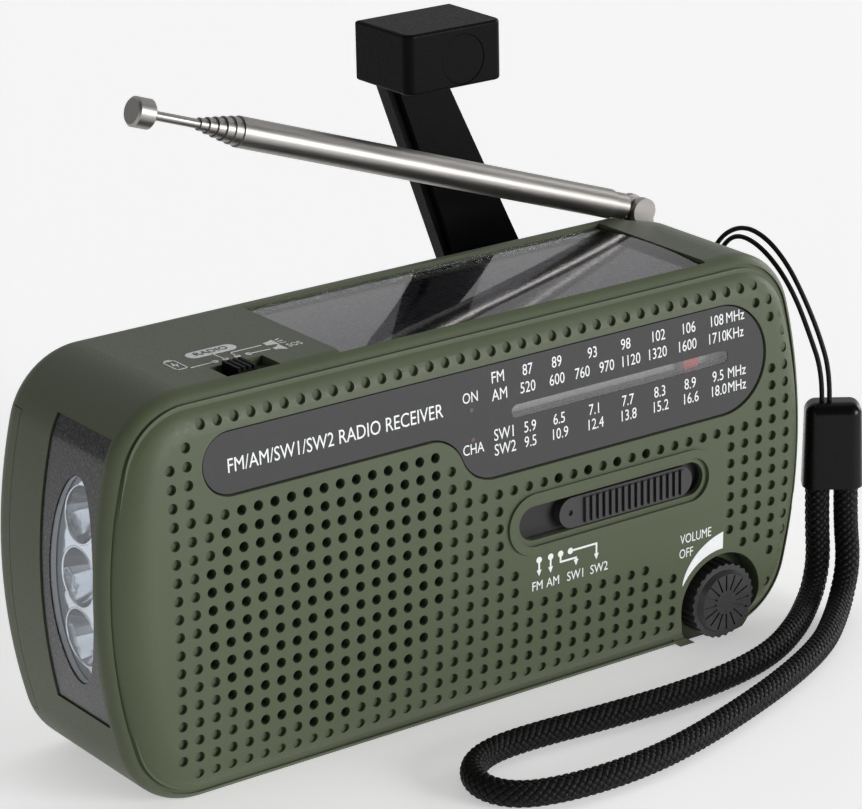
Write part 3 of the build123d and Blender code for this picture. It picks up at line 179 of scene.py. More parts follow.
def metal(name, colour, roughness, streak=(1, 1, 1), streak_scale=900, wear=0.1):
    """Metal with drawn or turned streaks and a little tarnish."""
    material, shader = new_material(name)
    shader.inputs["Metallic"].default_value = 1.0
    tarnish = noise(material, 45, 3)
    dull = tuple(c * (1 - wear) for c in colour)
    link(material, mix_colour(material, tarnish, colour, dull), shader.inputs["Base Color"])
    lines = noise(material, streak_scale, 3, streak)
    gloss = spread(material, lines, roughness * 0.75, roughness * 1.35)
    link(material, gloss, shader.inputs["Roughness"])
    bump(material, shader, lines, 0.25, 0.00002)
    return material


def clear(name, tint, gloss_roughness=0.02, reflect=0.7, painted_rim_highlight=False):
    """Clear moulding: see-through with a glossy surface that is strongest at glancing angles."""
    material = bpy.data.materials.new(name)
    material.use_nodes = True
    tree = material.node_tree
    tree.nodes.remove(tree.nodes["Principled BSDF"])
    output = tree.nodes["Material Output"]
    through = add_node(material, "ShaderNodeBsdfTransparent")
    through.inputs["Color"].default_value = (*tint, 1.0)
    shine = add_node(material, "ShaderNodeBsdfGlossy")
    shine.inputs["Roughness"].default_value = gloss_roughness
    edge = add_node(material, "ShaderNodeLayerWeight", Blend=0.5)
    steep = math_node(material, "POWER", edge.outputs["Facing"], 3.5)
    factor = math_node(material, "ADD", math_node(material, "MULTIPLY", steep, reflect), 0.035)
    mix = add_node(material, "ShaderNodeMixShader")
    link(material, factor, mix.inputs[0])
    link(material, through.outputs["BSDF"], mix.inputs[1])
    link(material, shine.outputs["BSDF"], mix.inputs[2])
    result = mix.outputs["Shader"]
    if painted_rim_highlight:
        # painted highlight: lens faces whose normal does not point along X, the rim of the lens that
        # faces left, get a light grey diffuse colour standing in for the bright ring of light seen there
        side = add_node(material, "ShaderNodeSeparateXYZ")
        geometry = add_node(material, "ShaderNodeNewGeometry")
        link(material, geometry.outputs["True Normal"], side.inputs["Vector"])
        leftward = math_node(material, "ABSOLUTE", side.outputs["X"])
        rim_highlight_mask = math_node(material, "LESS_THAN", leftward, 0.4)
        # painted highlight: this light grey diffuse is not a frosted finish but stands in for light on
        # the lens rim
        frosted_and_painted_highlight = add_node(material, "ShaderNodeBsdfDiffuse")
        frosted_and_painted_highlight.inputs["Color"].default_value = (0.62, 0.65, 0.68, 1.0)
        rim_highlight_mix = add_node(material, "ShaderNodeMixShader")
        link(material, math_node(material, "MULTIPLY", rim_highlight_mask, 0.6), rim_highlight_mix.inputs[0])
        link(material, result, rim_highlight_mix.inputs[1])
        link(material, frosted_and_painted_highlight.outputs["BSDF"], rim_highlight_mix.inputs[2])
        result = rim_highlight_mix.outputs["Shader"]
    link(material, result, output.inputs["Surface"])
    return material


def frosted_and_painted_highlight(name, colour, cover):
    """Milky moulding: part see-through, part diffuse."""
    material = bpy.data.materials.new(name)
    material.use_nodes = True
    tree = material.node_tree
    shader = tree.nodes["Principled BSDF"]
    cloud = noise(material, 500, 2)
    dull = tuple(c * 0.94 for c in colour)
    link(material, mix_colour(material, cloud, dull, colour), shader.inputs["Base Color"])
    shader.inputs["Roughness"].default_value = 0.35
    through = add_node(material, "ShaderNodeBsdfTransparent")
    mix = add_node(material, "ShaderNodeMixShader")
    mix.inputs[0].default_value = cover
    link(material, through.outputs["BSDF"], mix.inputs[1])
    link(material, shader.outputs["BSDF"], mix.inputs[2])
    link(material, mix.outputs["Shader"], tree.nodes["Material Output"].inputs["Surface"])
    return material


def assign(material, *names):
    """Give a material to CAD nodes."""
    for name in names:
        for slot in nodes[name].material_slots:
            slot.material = material


# ---------------------------------------------------------------- olive case
OLIVE = (0.058, 0.072, 0.036)
OLIVE_LIGHT = (0.068, 0.083, 0.044)
OLIVE_DARK = (0.054, 0.067, 0.033)
# painted shade: near black for the walls of the band slider's well, where shade falls
WELL_PAINTED_SHADE = (0.010, 0.010, 0.011)
# the band slider's well, in millimetres; its walls get painted shade
WELL_X = 24.0
WELL_Z = 29.6
WELL_HALF_W = 17.95
WELL_HALF_H = 2.9
WELL_RIM_Y = -16.2


def inside(material, axis_value, centre, half):
    """1 where a coordinate lies within a half width of a centre, 0 elsewhere."""
    offset = math_node(material, "SUBTRACT", axis_value, centre)
    away = math_node(material, "ABSOLUTE", offset)
    return math_node(material, "LESS_THAN", away, half)


def soft_touch(name, with_painted_well_shade):
    """Soft-touch olive paint; with painted shade, the walls of the well behind the band slider are
    coloured black.
    """
    material, shader = new_material(name)
    cloud = noise(material, 38, 3)
    speck = noise(material, 1400, 2)
    colour = mix_colour(material, cloud, OLIVE_DARK, OLIVE_LIGHT)
    colour = mix_colour(material, spread(material, speck, 0.0, 0.35, 0.52, 0.8), colour, OLIVE)
    fine = noise(material, 3600, 2)
    if with_painted_well_shade:
        # painted shade: the olive walls of the well behind the band slider turn near black, standing in
        # for the shade in the recess
        coords = add_node(material, "ShaderNodeTexCoord")
        split = add_node(material, "ShaderNodeSeparateXYZ")
        link(material, coords.outputs["Object"], split.inputs["Vector"])
        x, y, z = split.outputs["X"], split.outputs["Y"], split.outputs["Z"]
        along = inside(material, x, WELL_X * MM, WELL_HALF_W * MM)
        across = inside(material, z, WELL_Z * MM, WELL_HALF_H * MM)
        deep = math_node(material, "GREATER_THAN", y, WELL_RIM_Y * MM)
        in_slot = math_node(material, "MULTIPLY", along, across)
        painted_well_shade_mask = math_node(material, "MULTIPLY", in_slot, deep)
        colour = mix_colour(material, painted_well_shade_mask, colour, WELL_PAINTED_SHADE)
    link(material, colour, shader.inputs["Base Color"])
    link(material, spread(material, fine, 0.44, 0.60), shader.inputs["Roughness"])
    bump(material, shader, fine, 0.3, 0.00003)
    shader.inputs["Sheen Weight"].default_value = 0.06
    shader.inputs["Sheen Roughness"].default_value = 0.5
    shader.inputs["Specular IOR Level"].default_value = 0.35
    return material


# the front shell carries the painted shade in the band slider's well
assign(soft_touch("soft_touch_olive_front", True), "front_shell")
assign(soft_touch("soft_touch_olive", False), "rear_shell", "battery_door")

# ---------------------------------------------------------------- black mouldings
black_texture = plastic("black_textured", (0.0035, 0.0035, 0.004), 0.42, 1900, 0.00010, specular=0.05)
assign(
    black_texture,
    "crank_arm", "crank_hub", "crank_knob", "tuning_wheel", "mode_knob", "knob_pin",
)
satin_black = plastic("black_satin", (0.002, 0.002, 0.0025), 0.25, 2600, 0.00002, specular=0.2)
assign(satin_black, "strap_ferrule", "earphone_jack")
control_black = plastic("black_control", (0.028, 0.028, 0.030), 0.34, 2600, 0.00003, specular=0.45)
assign(control_black, "volume_knob", "band_slider")

dial_black = plastic("dial_gloss", (0.020, 0.020, 0.022), 0.15, 1500, 0.000004, 0.05, coat=0.5)
assign(dial_black, "dial_window")
assign(plastic("dial_strip", (0.60, 0.60, 0.61), 0.5, 2200, 0.00002), "dial_backing")
assign(plastic("pointer_red", (0.95, 0.06, 0.06), 0.35, 1500, 0.00002), "dial_pointer")


def speckled(name):
    """Dark smoky moulding with a fine sparkling grain, on the lamp's surround."""
    material, shader = new_material(name)
    grain = noise(material, 2600, 3)
    broad = noise(material, 120, 2)
    glint = spread(material, grain, 0, 1, 0.46, 0.68)
    sparkle = mix_colour(material, glint, (0.002, 0.002, 0.0025), (0.06, 0.06, 0.065))
    patch = spread(material, broad, 0.0, 0.5)
    smoky = mix_colour(material, patch, sparkle, (0.004, 0.004, 0.0045))
    link(material, smoky, shader.inputs["Base Color"])
    shader.inputs["Specular IOR Level"].default_value = 0.3
    shader.inputs["Roughness"].default_value = 0.3
    bump(material, shader, grain, 0.5, 0.00012)
    shader.inputs["Coat Weight"].default_value = 0.35
    return material


assign(speckled("lamp_surround"), "lamp_bezel")

# ---------------------------------------------------------------- clear parts and the lamp
# the lamp lens gets a painted highlight on its rim
assign(clear("clear_lens", (0.95, 0.97, 0.99), reflect=0.5, painted_rim_highlight=True), "lamp_lens")
assign(frosted_and_painted_highlight("milky_dial", (0.27, 0.27, 0.275), 0.33), "dial_lens")
assign(clear("clear_cover", (0.80, 0.80, 0.82), 0.03, 0.7), "solar_cover")
assign(clear("clear_epoxy", (0.9, 0.92, 0.93), 0.02, 0.9), "lamp_leds")


def chrome(name):
    """Vacuum-metallised plastic with faint ripples."""
    material, shader = new_material(name)
    shader.inputs["Metallic"].default_value = 1.0
    ripple = noise(material, 260, 2)
    silver = mix_colour(material, ripple, (0.86, 0.87, 0.89), (0.78, 0.80, 0.83))
    link(material, silver, shader.inputs["Base Color"])
    link(material, spread(material, ripple, 0.05, 0.14), shader.inputs["Roughness"])
    bump(material, shader, ripple, 0.5, 0.0003)
    return material


metallised = chrome("metallised")
assign(metallised, "lamp_reflector")

LED_Y = -5.2
LED_Z = (44.9, 35.4, 25.9)
SIDE_BOW_R = 87.6
MOUTH_INSET = 1.45
CUP_SLOPE = math.tan(math.radians(16))


def mouth_x(z):
    """Where the reflector's bowed face lies at height z, in millimetres."""
    return SIDE_BOW_R - 65.0 - math.sqrt((SIDE_BOW_R - MOUTH_INSET) ** 2 - (z - 31.5) ** 2)


def lathe(name, profile, sides=40, on_mouth=False):
    """Turned pieces on the LED axes: a closed profile of (x, radius) in millimetres, one solid per LED.

    On the mouth, the profile is measured from the cup's edge.
    """
    verts, faces = [], []
    rings = len(profile)
    for z in LED_Z:
        first = len(verts)
        for k in range(sides):
            a = 2 * math.pi * k / sides
            edge_x = mouth_x(z + 4.5 * math.sin(a)) if on_mouth else 0.0
            edge_r = 4.7 - (edge_x + 64.0) * CUP_SLOPE if on_mouth else 0.0
            for depth, from_edge in profile:
                x, radius = edge_x + depth, edge_r + from_edge
                y = LED_Y + radius * math.cos(a)
                verts.append((x * MM, y * MM, (z + radius * math.sin(a)) * MM))
        for k in range(sides):
            here = first + k * rings
            there = first + (k + 1) % sides * rings
            for i in range(rings):
                j = (i + 1) % rings
                faces.append((here + i, here + j, there + j, there + i))
    return mesh_object(name, verts, faces)


bead = [
    (0.12 + 0.22 * math.cos(2 * math.pi * k / 10), 0.22 * math.sin(2 * math.pi * k / 10))
    for k in range(10)
]
rims = lathe("cup_rims", bead, on_mouth=True)
rims.data.materials.append(metallised)
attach(rims, "case")
phosphor = lathe("led_phosphor", [(-57.6, 0.05), (-57.6, 0.75), (-57.2, 0.95), (-57.2, 0.05)], 20)
phosphor.data.materials.append(plastic("phosphor", (0.75, 0.62, 0.12), 0.5, 4000, 0.00002))
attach(phosphor, "case")
assign(plastic("indicator_epoxy", (0.06, 0.09, 0.05), 0.2, 900, 0.00001), "indicator_leds")

# ---------------------------------------------------------------- solar cell
LINE_PITCH = 1.12 * MM
LINE_WIDTH = 0.075


def solar(name):
    """Dark cells with fine collector lines from front to rear."""
    material, shader = new_material(name)
    coords = add_node(material, "ShaderNodeTexCoord")
    split = add_node(material, "ShaderNodeSeparateXYZ")
    link(material, coords.outputs["Object"], split.inputs["Vector"])
    phase = math_node(material, "FRACT", math_node(material, "DIVIDE", split.outputs["X"], LINE_PITCH))
    lines = math_node(material, "LESS_THAN", phase, LINE_WIDTH)
    cell = math_node(material, "FRACT", math_node(material, "DIVIDE", split.outputs["X"], 9.6 * MM))
    gap = math_node(material, "LESS_THAN", cell, 0.022)
    base = mix_colour(material, noise(material, 300, 3), (0.006, 0.006, 0.010), (0.012, 0.011, 0.017))
    base = mix_colour(material, lines, base, (0.20, 0.20, 0.21))
    link(material, mix_colour(material, gap, base, (0.10, 0.09, 0.09)), shader.inputs["Base Color"])
    link(material, spread(material, noise(material, 800, 2), 0.22, 0.34), shader.inputs["Roughness"])
    return material


assign(solar("solar_cells"), "solar_cell")

# ---------------------------------------------------------------- metals and inner pieces
SLOPE = math.radians(19.1)


def drawn_metal(name):
    """Nickel-plated tube with streaks along its sloping length."""
    material, shader = new_material(name)
    shader.inputs["Metallic"].default_value = 1.0
    coords = add_node(material, "ShaderNodeTexCoord")
    turn_node = add_node(material, "ShaderNodeMapping")
    turn_node.inputs["Rotation"].default_value = (0, -SLOPE, 0)
    squeeze = add_node(material, "ShaderNodeMapping")
    squeeze.inputs["Scale"].default_value = (0.03, 1, 1)
    link(material, coords.outputs["Object"], turn_node.inputs["Vector"])
    link(material, turn_node.outputs["Vector"], squeeze.inputs["Vector"])
    streaks = add_node(material, "ShaderNodeTexNoise", Scale=3200.0, Detail=3.0)
    link(material, squeeze.outputs["Vector"], streaks.inputs["Vector"])
    lines = streaks.outputs["Fac"]
    plating = mix_colour(material, lines, (0.30, 0.288, 0.275), (0.36, 0.345, 0.33))
    link(material, plating, shader.inputs["Base Color"])
    link(material, spread(material, lines, 0.33, 0.42), shader.inputs["Roughness"])
    bump(material, shader, lines, 0.12, 0.000003)
    return material


nickel = drawn_metal("drawn_nickel")
assign(
    nickel,
    "antenna_clevis", "antenna_tube_1", "antenna_tube_2", "antenna_tube_3", "antenna_tube_4",
    "antenna_tube_5", "antenna_tube_6", "antenna_rod", "antenna_tip",
)
plain_steel = metal("plain_steel", (0.52, 0.52, 0.53), 0.3)
assign(
    plain_steel,
    "dial_spindles", "band_switch", "volume_pot", "mode_switch", "speaker_basket", "dynamo_rotor",
    "dynamo_case", "gear_bracket", "crank_hinge_pin", "case_screws",
)
assign(metal("plated_spring", (0.70, 0.68, 0.62), 0.22), "battery_contacts", "charging_port")
assign(metal("turned_brass", (0.68, 0.50, 0.22), 0.25), "crank_bush")
nylon = plastic("nylon", (0.72, 0.71, 0.66), 0.45, 1500, 0.00003)
assign(nylon, "tuning_gear", "tuning_capacitor", "drive_gear", "step_gear")
assign(plastic("ferrite_grey", (0.045, 0.042, 0.042), 0.55, 900, 0.00006), "ferrite_rod")
assign(plastic("cell_sleeve", (0.03, 0.10, 0.24), 0.2, 900, 0.00002, coat=0.5), "battery_cells")
assign(plastic("string", (0.60, 0.57, 0.48), 0.8, 3500, 0.0001), "dial_cord")
assign(plastic("paper_cone", (0.03, 0.03, 0.032), 0.8, 1800, 0.0001), "speaker_cone")


def solder_mask(name):
    """Circuit board: green mask over copper traces."""
    material, shader = new_material(name)
    cells = add_node(
        material, "ShaderNodeTexVoronoi", feature="DISTANCE_TO_EDGE", distance="MANHATTAN", Scale=260.0
    )
    link(material, place(material), cells.inputs["Vector"])
    traces = math_node(material, "LESS_THAN", cells.outputs["Distance"], 0.09)
    green = mix_colour(material, traces, (0.012, 0.10, 0.035), (0.03, 0.17, 0.06))
    link(material, green, shader.inputs["Base Color"])
    shader.inputs["Roughness"].default_value = 0.3
    return material


assign(solder_mask("board_mask"), "main_board", "lamp_board")


def winding(name):
    """Close turns of enamelled wire."""
    material, shader = new_material(name)
    wave = add_node(material, "ShaderNodeTexWave", Scale=900.0, bands_direction="X")
    link(material, place(material), wave.inputs["Vector"])
    copper = mix_colour(material, wave.outputs["Fac"], (0.16, 0.05, 0.015), (0.52, 0.22, 0.07))
    link(material, copper, shader.inputs["Base Color"])
    shader.inputs["Roughness"].default_value = 0.3
    shader.inputs["Metallic"].default_value = 0.7
    bump(material, shader, wave.outputs["Fac"], 0.6, 0.0001)
    return material


assign(winding("copper_winding"), "aerial_coil")


def cloth(name):
    """Fine black grille cloth: a plain weave."""
    material, shader = new_material(name)
    height = None
    for direction in ("X", "Z"):
        wave = add_node(material, "ShaderNodeTexWave", Scale=700.0, bands_direction=direction)
        link(material, place(material), wave.inputs["Vector"])
        value = wave.outputs["Fac"]
        height = value if height is None else math_node(material, "MAXIMUM", height, value)
    weave = mix_colour(material, height, (0.002, 0.002, 0.002), (0.010, 0.010, 0.010))
    link(material, weave, shader.inputs["Base Color"])
    shader.inputs["Roughness"].default_value = 0.9
    bump(material, shader, height, 0.6, 0.0002)
    return material


assign(cloth("grille_weave"), "grille_cloth")


# ---------------------------------------------------------------- cords
def nurbs(name, points):
    """A smooth open NURBS curve with these control points, given in millimetres."""
    data = bpy.data.curves.new(name, "CURVE")
    data.dimensions = "3D"
    data.resolution_u = 24
    spline = data.splines.new("NURBS")
    spline.points.add(len(points) - 1)
    for point, place_mm in zip(spline.points, points):
        point.co = (*(v * MM for v in place_mm), 1.0)
    spline.order_u = 3
    spline.use_endpoint_u = True
    piece = bpy.data.objects.new(name, data)
    bpy.context.collection.objects.link(piece)
    return piece


def centre_line(curve):
    """The points along a curve that has no bevel."""
    bpy.context.view_layer.update()
    mesh = bpy.data.meshes.new_from_object(curve)
    line = [v.co.copy() for v in mesh.vertices]
    bpy.data.meshes.remove(mesh)
    return line


def even_steps(line, step):
    """The same line with points an even step apart."""
    lengths = [0.0]
    for a, b in zip(line, line[1:]):
        lengths.append(lengths[-1] + (b - a).length)
    count = max(2, round(lengths[-1] / step))
    points = []
    index = 0
    for k in range(count + 1):
        target = lengths[-1] * k / count
        while index < len(lengths) - 2 and lengths[index + 1] < target:
            index += 1
        part = (target - lengths[index]) / max(lengths[index + 1] - lengths[index], 1e-12)
        points.append(line[index].lerp(line[index + 1], part))
    return points, lengths[-1]


def carried_frames(points):
    """Tangent, normal and binormal at each point, carried along without twist."""
    frames = []
    normal = None
    for k, point in enumerate(points):
        ahead = points[min(k + 1, len(points) - 1)]
        behind = points[max(k - 1, 0)]
        tangent = (ahead - behind).normalized()
        if normal is None:
            normal = tangent.orthogonal().normalized()
        normal = (normal - tangent * normal.dot(tangent)).normalized()
        frames.append((tangent, normal, tangent.cross(normal)))
    return frames


ROPE_POINTS = [
    (70.63, -11.66, 19.9), (70.63, -11.66, 13.4), (70.0, -12.9, 7.6), (67.6, -14.6, 3.7),
    (63.4, -17.6, 2.1), (56.6, -22.9, 2.1), (47.6, -28.2, 2.1), (37.0, -31.2, 2.1),
    (24.2, -32.1, 2.1), (11.0, -31.5, 2.1), (-1.5, -30.2, 2.1), (-10.4, -30.5, 2.1),
    (-15.9, -33.9, 2.1), (-18.4, -39.6, 2.1), (-15.9, -45.2, 2.1), (-8.9, -47.7, 2.1),
    (1.5, -48.4, 2.1), (12.5, -47.1, 2.1), (27.0, -43.0, 2.1), (42.3, -37.4, 2.1),
    (55.2, -31.0, 2.1), (64.0, -24.0, 2.1), (69.5, -19.4, 3.2), (72.7, -17.2, 7.6),
    (74.37, -14.34, 13.8), (74.37, -14.34, 19.9),
]
LACE_POINTS = [
    (70.9, -12.1, 34.2), (70.9, -12.1, 39.0), (69.6, -10.2, 45.5), (68.0, -8.6, 51.5),
    (67.0, -5.4, 56.0), (66.4, -1.0, 58.9), (65.8, 3.2, 59.6), (65.4, 6.2, 57.4),
    (64.6, 7.3, 53.6), (62.6, 7.2, 50.6), (58.95, 7.15, 49.9), (58.95, 9.85, 49.9),
    (62.6, 9.8, 50.6), (65.0, 9.4, 54.2), (66.2, 7.4, 58.6), (66.7, 2.6, 61.0),
    (67.2, -2.4, 60.0), (67.8, -6.8, 56.6), (68.9, -9.6, 51.6), (70.5, -11.6, 45.5),
    (71.9, -12.8, 39.0), (71.9, -12.8, 34.2),
]
ROPE_D = 4.1 * MM
LACE_D = 0.8 * MM
STRANDS = 8
LAY = 10.0 * MM
STRAND_WIDE = 0.57 * MM
STRAND_THICK = 0.25 * MM
STRAND_LIFT = 0.16 * MM
STRAND_SIDES = 6
STEPS_PER_CROSSING = 5


def braid(name, line, radius):
    """A round braid: strands wound both ways, passing over and under each other."""
    step = LAY / (2 * STRANDS) / STEPS_PER_CROSSING
    points, total = even_steps(line, step)
    frames = carried_frames(points)
    spacing = total / (len(points) - 1)
    middle = radius - STRAND_LIFT - STRAND_THICK
    verts = []
    faces = []
    for way in (1, -1):
        for strand in range(STRANDS):
            first = len(verts)
            for k, (point, (tangent, normal, side)) in enumerate(zip(points, frames)):
                along = k * spacing
                angle = way * 2 * math.pi * along / LAY + 2 * math.pi * strand / STRANDS
                lift = way * math.cos(2 * math.pi * STRANDS * along / LAY)
                out = normal * math.cos(angle) + side * math.sin(angle)
                around = -normal * math.sin(angle) + side * math.cos(angle)
                lean = way * 2 * math.pi * middle / LAY
                across = (around - tangent * lean).normalized()
                centre = point + out * (middle + STRAND_LIFT * lift)
                for corner in range(STRAND_SIDES):
                    a = 2 * math.pi * corner / STRAND_SIDES
                    verts.append(
                        centre + across * (STRAND_WIDE * math.cos(a)) + out * (STRAND_THICK * math.sin(a))
                    )
            rings = len(points)
            for k in range(rings - 1):
                for corner in range(STRAND_SIDES):
                    a = first + k * STRAND_SIDES + corner
                    b = first + k * STRAND_SIDES + (corner + 1) % STRAND_SIDES
                    faces.append((a, b, b + STRAND_SIDES, a + STRAND_SIDES))
            faces.append(tuple(first + c for c in reversed(range(STRAND_SIDES))))
            faces.append(tuple(first + (rings - 1) * STRAND_SIDES + c for c in range(STRAND_SIDES)))
    # the core under the strands
    sides = 16
    core_r = middle - 0.1 * MM
    coarse, _ = even_steps(line, 1.2 * MM)
    first = len(verts)
    for point, (tangent, normal, side) in zip(coarse, carried_frames(coarse)):
        for corner in range(sides):
            a = 2 * math.pi * corner / sides
            verts.append(point + (normal * math.cos(a) + side * math.sin(a)) * core_r)
    for k in range(len(coarse) - 1):
        for corner in range(sides):
            a = first + k * sides + corner
            b = first + k * sides + (corner + 1) % sides
            faces.append((a, b, b + sides, a + sides))
    faces.append(tuple(first + c for c in reversed(range(sides))))
    faces.append(tuple(first + (len(coarse) - 1) * sides + c for c in range(sides)))
    return mesh_object(name, verts, faces), points, total


def fibre(name, colour, scale):
    """Twisted nylon fibre with a soft sheen."""
    material, shader = new_material(name)
    threads = noise(material, scale, 3)
    shade = tuple(c * 0.5 for c in colour)
    light = tuple(c * 1.6 for c in colour)
    link(material, mix_colour(material, threads, shade, light), shader.inputs["Base Color"])
    link(material, spread(material, threads, 0.42, 0.68), shader.inputs["Roughness"])
    shader.inputs["Specular IOR Level"].default_value = 0.2
    bump(material, shader, threads, 0.5, 0.0001)
    return material


rope_route = nurbs("rope_route", ROPE_POINTS)
rope_line = centre_line(rope_route)
bpy.data.objects.remove(rope_route)
rope, rope_path, rope_length = braid("wrist_rope", rope_line, ROPE_D / 2)
rope.data.materials.append(fibre("rope_fibre", (0.0016, 0.0016, 0.0018), 5200))
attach(rope, "case")
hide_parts("strap_rope")

lace = nurbs("strap_loop", LACE_POINTS)
lace_line = centre_line(lace)
lace.data.bevel_depth = LACE_D / 2
lace.data.bevel_resolution = 3
lace.data.use_fill_caps = True
lace.data.materials.append(fibre("lace_fibre", (0.0016, 0.0016, 0.0018), 6500))
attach(lace, "case")
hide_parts("strap_lace")

# ---------------------------------------------------------------- printing
FRONT_Y = -17.25
CROWN_R = 339.0
CROWN_Z = 30.3
WINDOW_SINK = 0.3
TOP_Z = 63.0
INK = 0.035
DRAWN_SIZE = 20.0


def front_at(sink):
    """Maps a point of a flat layout to the crowned front, sunk by some millimetres."""
    def to_front(x, z, height):
        radius = CROWN_R - sink + height
        return (x, FRONT_Y + CROWN_R - math.sqrt(radius**2 - (z - CROWN_Z) ** 2), z)
    return to_front


def to_top(x, y, height):
    return (x, y, TOP_Z + height)


def text_shape(text, size, align="CENTER", squeeze=1.0):
    """A word as a flat mesh: its points and faces, in millimetres.

    It is drawn large and scaled down, because small letters lose their thin gaps.
    """
    data = bpy.data.curves.new("word", "FONT")
    data.body = text
    data.size = DRAWN_SIZE
    data.align_x = align
    data.align_y = "CENTER"
    data.extrude = 0.2
    data.resolution_u = 3
    word = bpy.data.objects.new("word", data)
    bpy.context.collection.objects.link(word)
    bpy.context.view_layer.update()
    mesh = bpy.data.meshes.new_from_object(word)
    scale = size / DRAWN_SIZE
    points = [(v.co.x * squeeze * scale, v.co.y * scale, v.co.z) for v in mesh.vertices]
    faces = [tuple(p.vertices) for p in mesh.polygons]
    bpy.data.objects.remove(word)
    bpy.data.meshes.remove(mesh)
    return points, faces


def flat_shape(outline):
    """A thin flat shape from an outline, in millimetres."""
    count = len(outline)
    points = [(x, y, -0.02) for x, y in outline] + [(x, y, 0.02) for x, y in outline]
    faces = [tuple(reversed(range(count))), tuple(range(count, 2 * count))]
    for k in range(count):
        n = (k + 1) % count
        faces.append((k, n, n + count, k + count))
    return points, faces


def bar(x0, y0, x1, y1, width):
    """A thin line between two points."""
    along = Vector((x1 - x0, y1 - y0)).normalized() * (width / 2)
    side = Vector((-along.y, along.x))
    a, b = Vector((x0, y0)) - along, Vector((x1, y1)) + along
    return flat_shape([tuple(a - side), tuple(b - side), tuple(b + side), tuple(a + side)])


def dot(x, y, radius, stretch=1.0):
    ring = [(x + radius * stretch * math.cos(a), y + radius * math.sin(a)) for a in
            (2 * math.pi * k / 20 for k in range(20))]
    return flat_shape(ring)


def strip(left, right):
    """A ribbon between two edges with the same number of points."""
    count = len(left)
    points = []
    for z in (-0.02, 0.02):
        points += [(x, y, z) for x, y in left] + [(x, y, z) for x, y in right]
    faces = []
    for k in range(count - 1):
        faces.append((k + 1, k, count + k, count + k + 1))
        faces.append((2 * count + k, 2 * count + k + 1, 3 * count + k + 1, 3 * count + k))
        faces.append((k, k + 1, 2 * count + k + 1, 2 * count + k))
        faces.append((count + k + 1, count + k, 3 * count + k, 3 * count + k + 1))
    faces.append((count, 0, 2 * count, 3 * count))
    faces.append((count - 1, 2 * count - 1, 4 * count - 1, 3 * count - 1))
    return points, faces


class Sheet:
    """Collects printed shapes that become one piece."""

    def __init__(self, name, mapping):
        self.name = name
        self.mapping = mapping
        self.points = []
        self.faces = []

    def put(self, shape, x=0.0, y=0.0):
        points, faces = shape
        first = len(self.points)
        for px, py, pz in points:
            height = INK if pz > 0 else -INK
            self.points.append([v * MM for v in self.mapping(px + x, py + y, height)])
        self.faces += [tuple(first + i for i in face) for face in faces]

    def finish(self, material):
        piece = mesh_object(self.name, self.points, self.faces, smooth=False)
        piece.data.materials.append(material)
        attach(piece, "case")
        return piece


def ink(name, colour):
    """Screen-printed ink: slightly uneven cover and edge."""
    material, shader = new_material(name)
    cover = noise(material, 1800, 3)
    thin = tuple(c * 0.84 for c in colour)
    link(material, mix_colour(material, cover, thin, colour), shader.inputs["Base Color"])
    link(material, spread(material, cover, 0.4, 0.6), shader.inputs["Roughness"])
    bump(material, shader, cover, 0.2, 0.00002)
    return material


white_ink = ink("white_ink", (0.80, 0.81, 0.82))
dark_ink = ink("dark_ink", (0.06, 0.07, 0.05))

COLUMNS = (8.7, 14.2, 21.0, 27.4, 33.7, 39.7)
LAST_COLUMN = 45.3
UNIT_X = 47.15
AM_COLUMNS = (8.6, 14.1, 18.9, 23.6, 28.2, 33.4, 39.3)
ROWS_Z = (54.0, 51.3, 45.1, 42.75)
NUMBER_SIZE = 2.45
NARROW = 0.80
FM_NUMBERS = ("87", "89", "93", "98", "102", "106")
AM_NUMBERS = ("520", "600", "760", "970", "1120", "1320", "1600")
SW1_NUMBERS = ("5.9", "6.5", "7.1", "7.7", "8.3", "8.9")
SW2_NUMBERS = ("9.5", "10.9", "12.4", "13.8", "15.2", "16.6")

dial_print = Sheet("dial_print", front_at(WINDOW_SINK))
for row_z, columns, numbers, last, unit, band in (
    (ROWS_Z[0], COLUMNS, FM_NUMBERS, "108", "MHz", "FM"),
    (ROWS_Z[1], AM_COLUMNS, AM_NUMBERS, "1710", "KHz", "AM"),
    (ROWS_Z[2], COLUMNS, SW1_NUMBERS, "9.5", "MHz", "SW1"),
    (ROWS_Z[3], COLUMNS, SW2_NUMBERS, "18.0", "MHz", "SW2"),
):
    for x, number in zip(columns, numbers):
        dial_print.put(text_shape(number, NUMBER_SIZE, squeeze=NARROW), x, row_z)
    dial_print.put(text_shape(last, NUMBER_SIZE, squeeze=NARROW), LAST_COLUMN, row_z)
    dial_print.put(text_shape(unit, NUMBER_SIZE, "LEFT", NARROW), UNIT_X, row_z)
    dial_print.put(text_shape(band, NUMBER_SIZE * 1.05, "LEFT", NARROW), 1.9, row_z)
dial_print.put(text_shape("ON", NUMBER_SIZE * 0.95, squeeze=NARROW), -2.0, 51.9)
dial_print.put(text_shape("CHA", NUMBER_SIZE * 0.95, squeeze=NARROW), -1.9, 43.9)
dial_print.put(text_shape("FM/AM/SW1/SW2 RADIO RECEIVER", 3.05, squeeze=0.80), -25.9, 51.0)
dial_print.finish(white_ink)

band_print = Sheet("band_print", front_at(0.0))
LABEL_Z = 19.2
DOTS_Z = 23.45
ARROW_Z = 20.8


def arrow(x, z_top, z_tip):
    """A line down to a small arrowhead."""
    band_print.put(bar(x, z_top, x, z_tip + 0.6, 0.32))
    band_print.put(flat_shape([(x, z_tip), (x + 0.45, z_tip + 1.0), (x - 0.45, z_tip + 1.0)]))


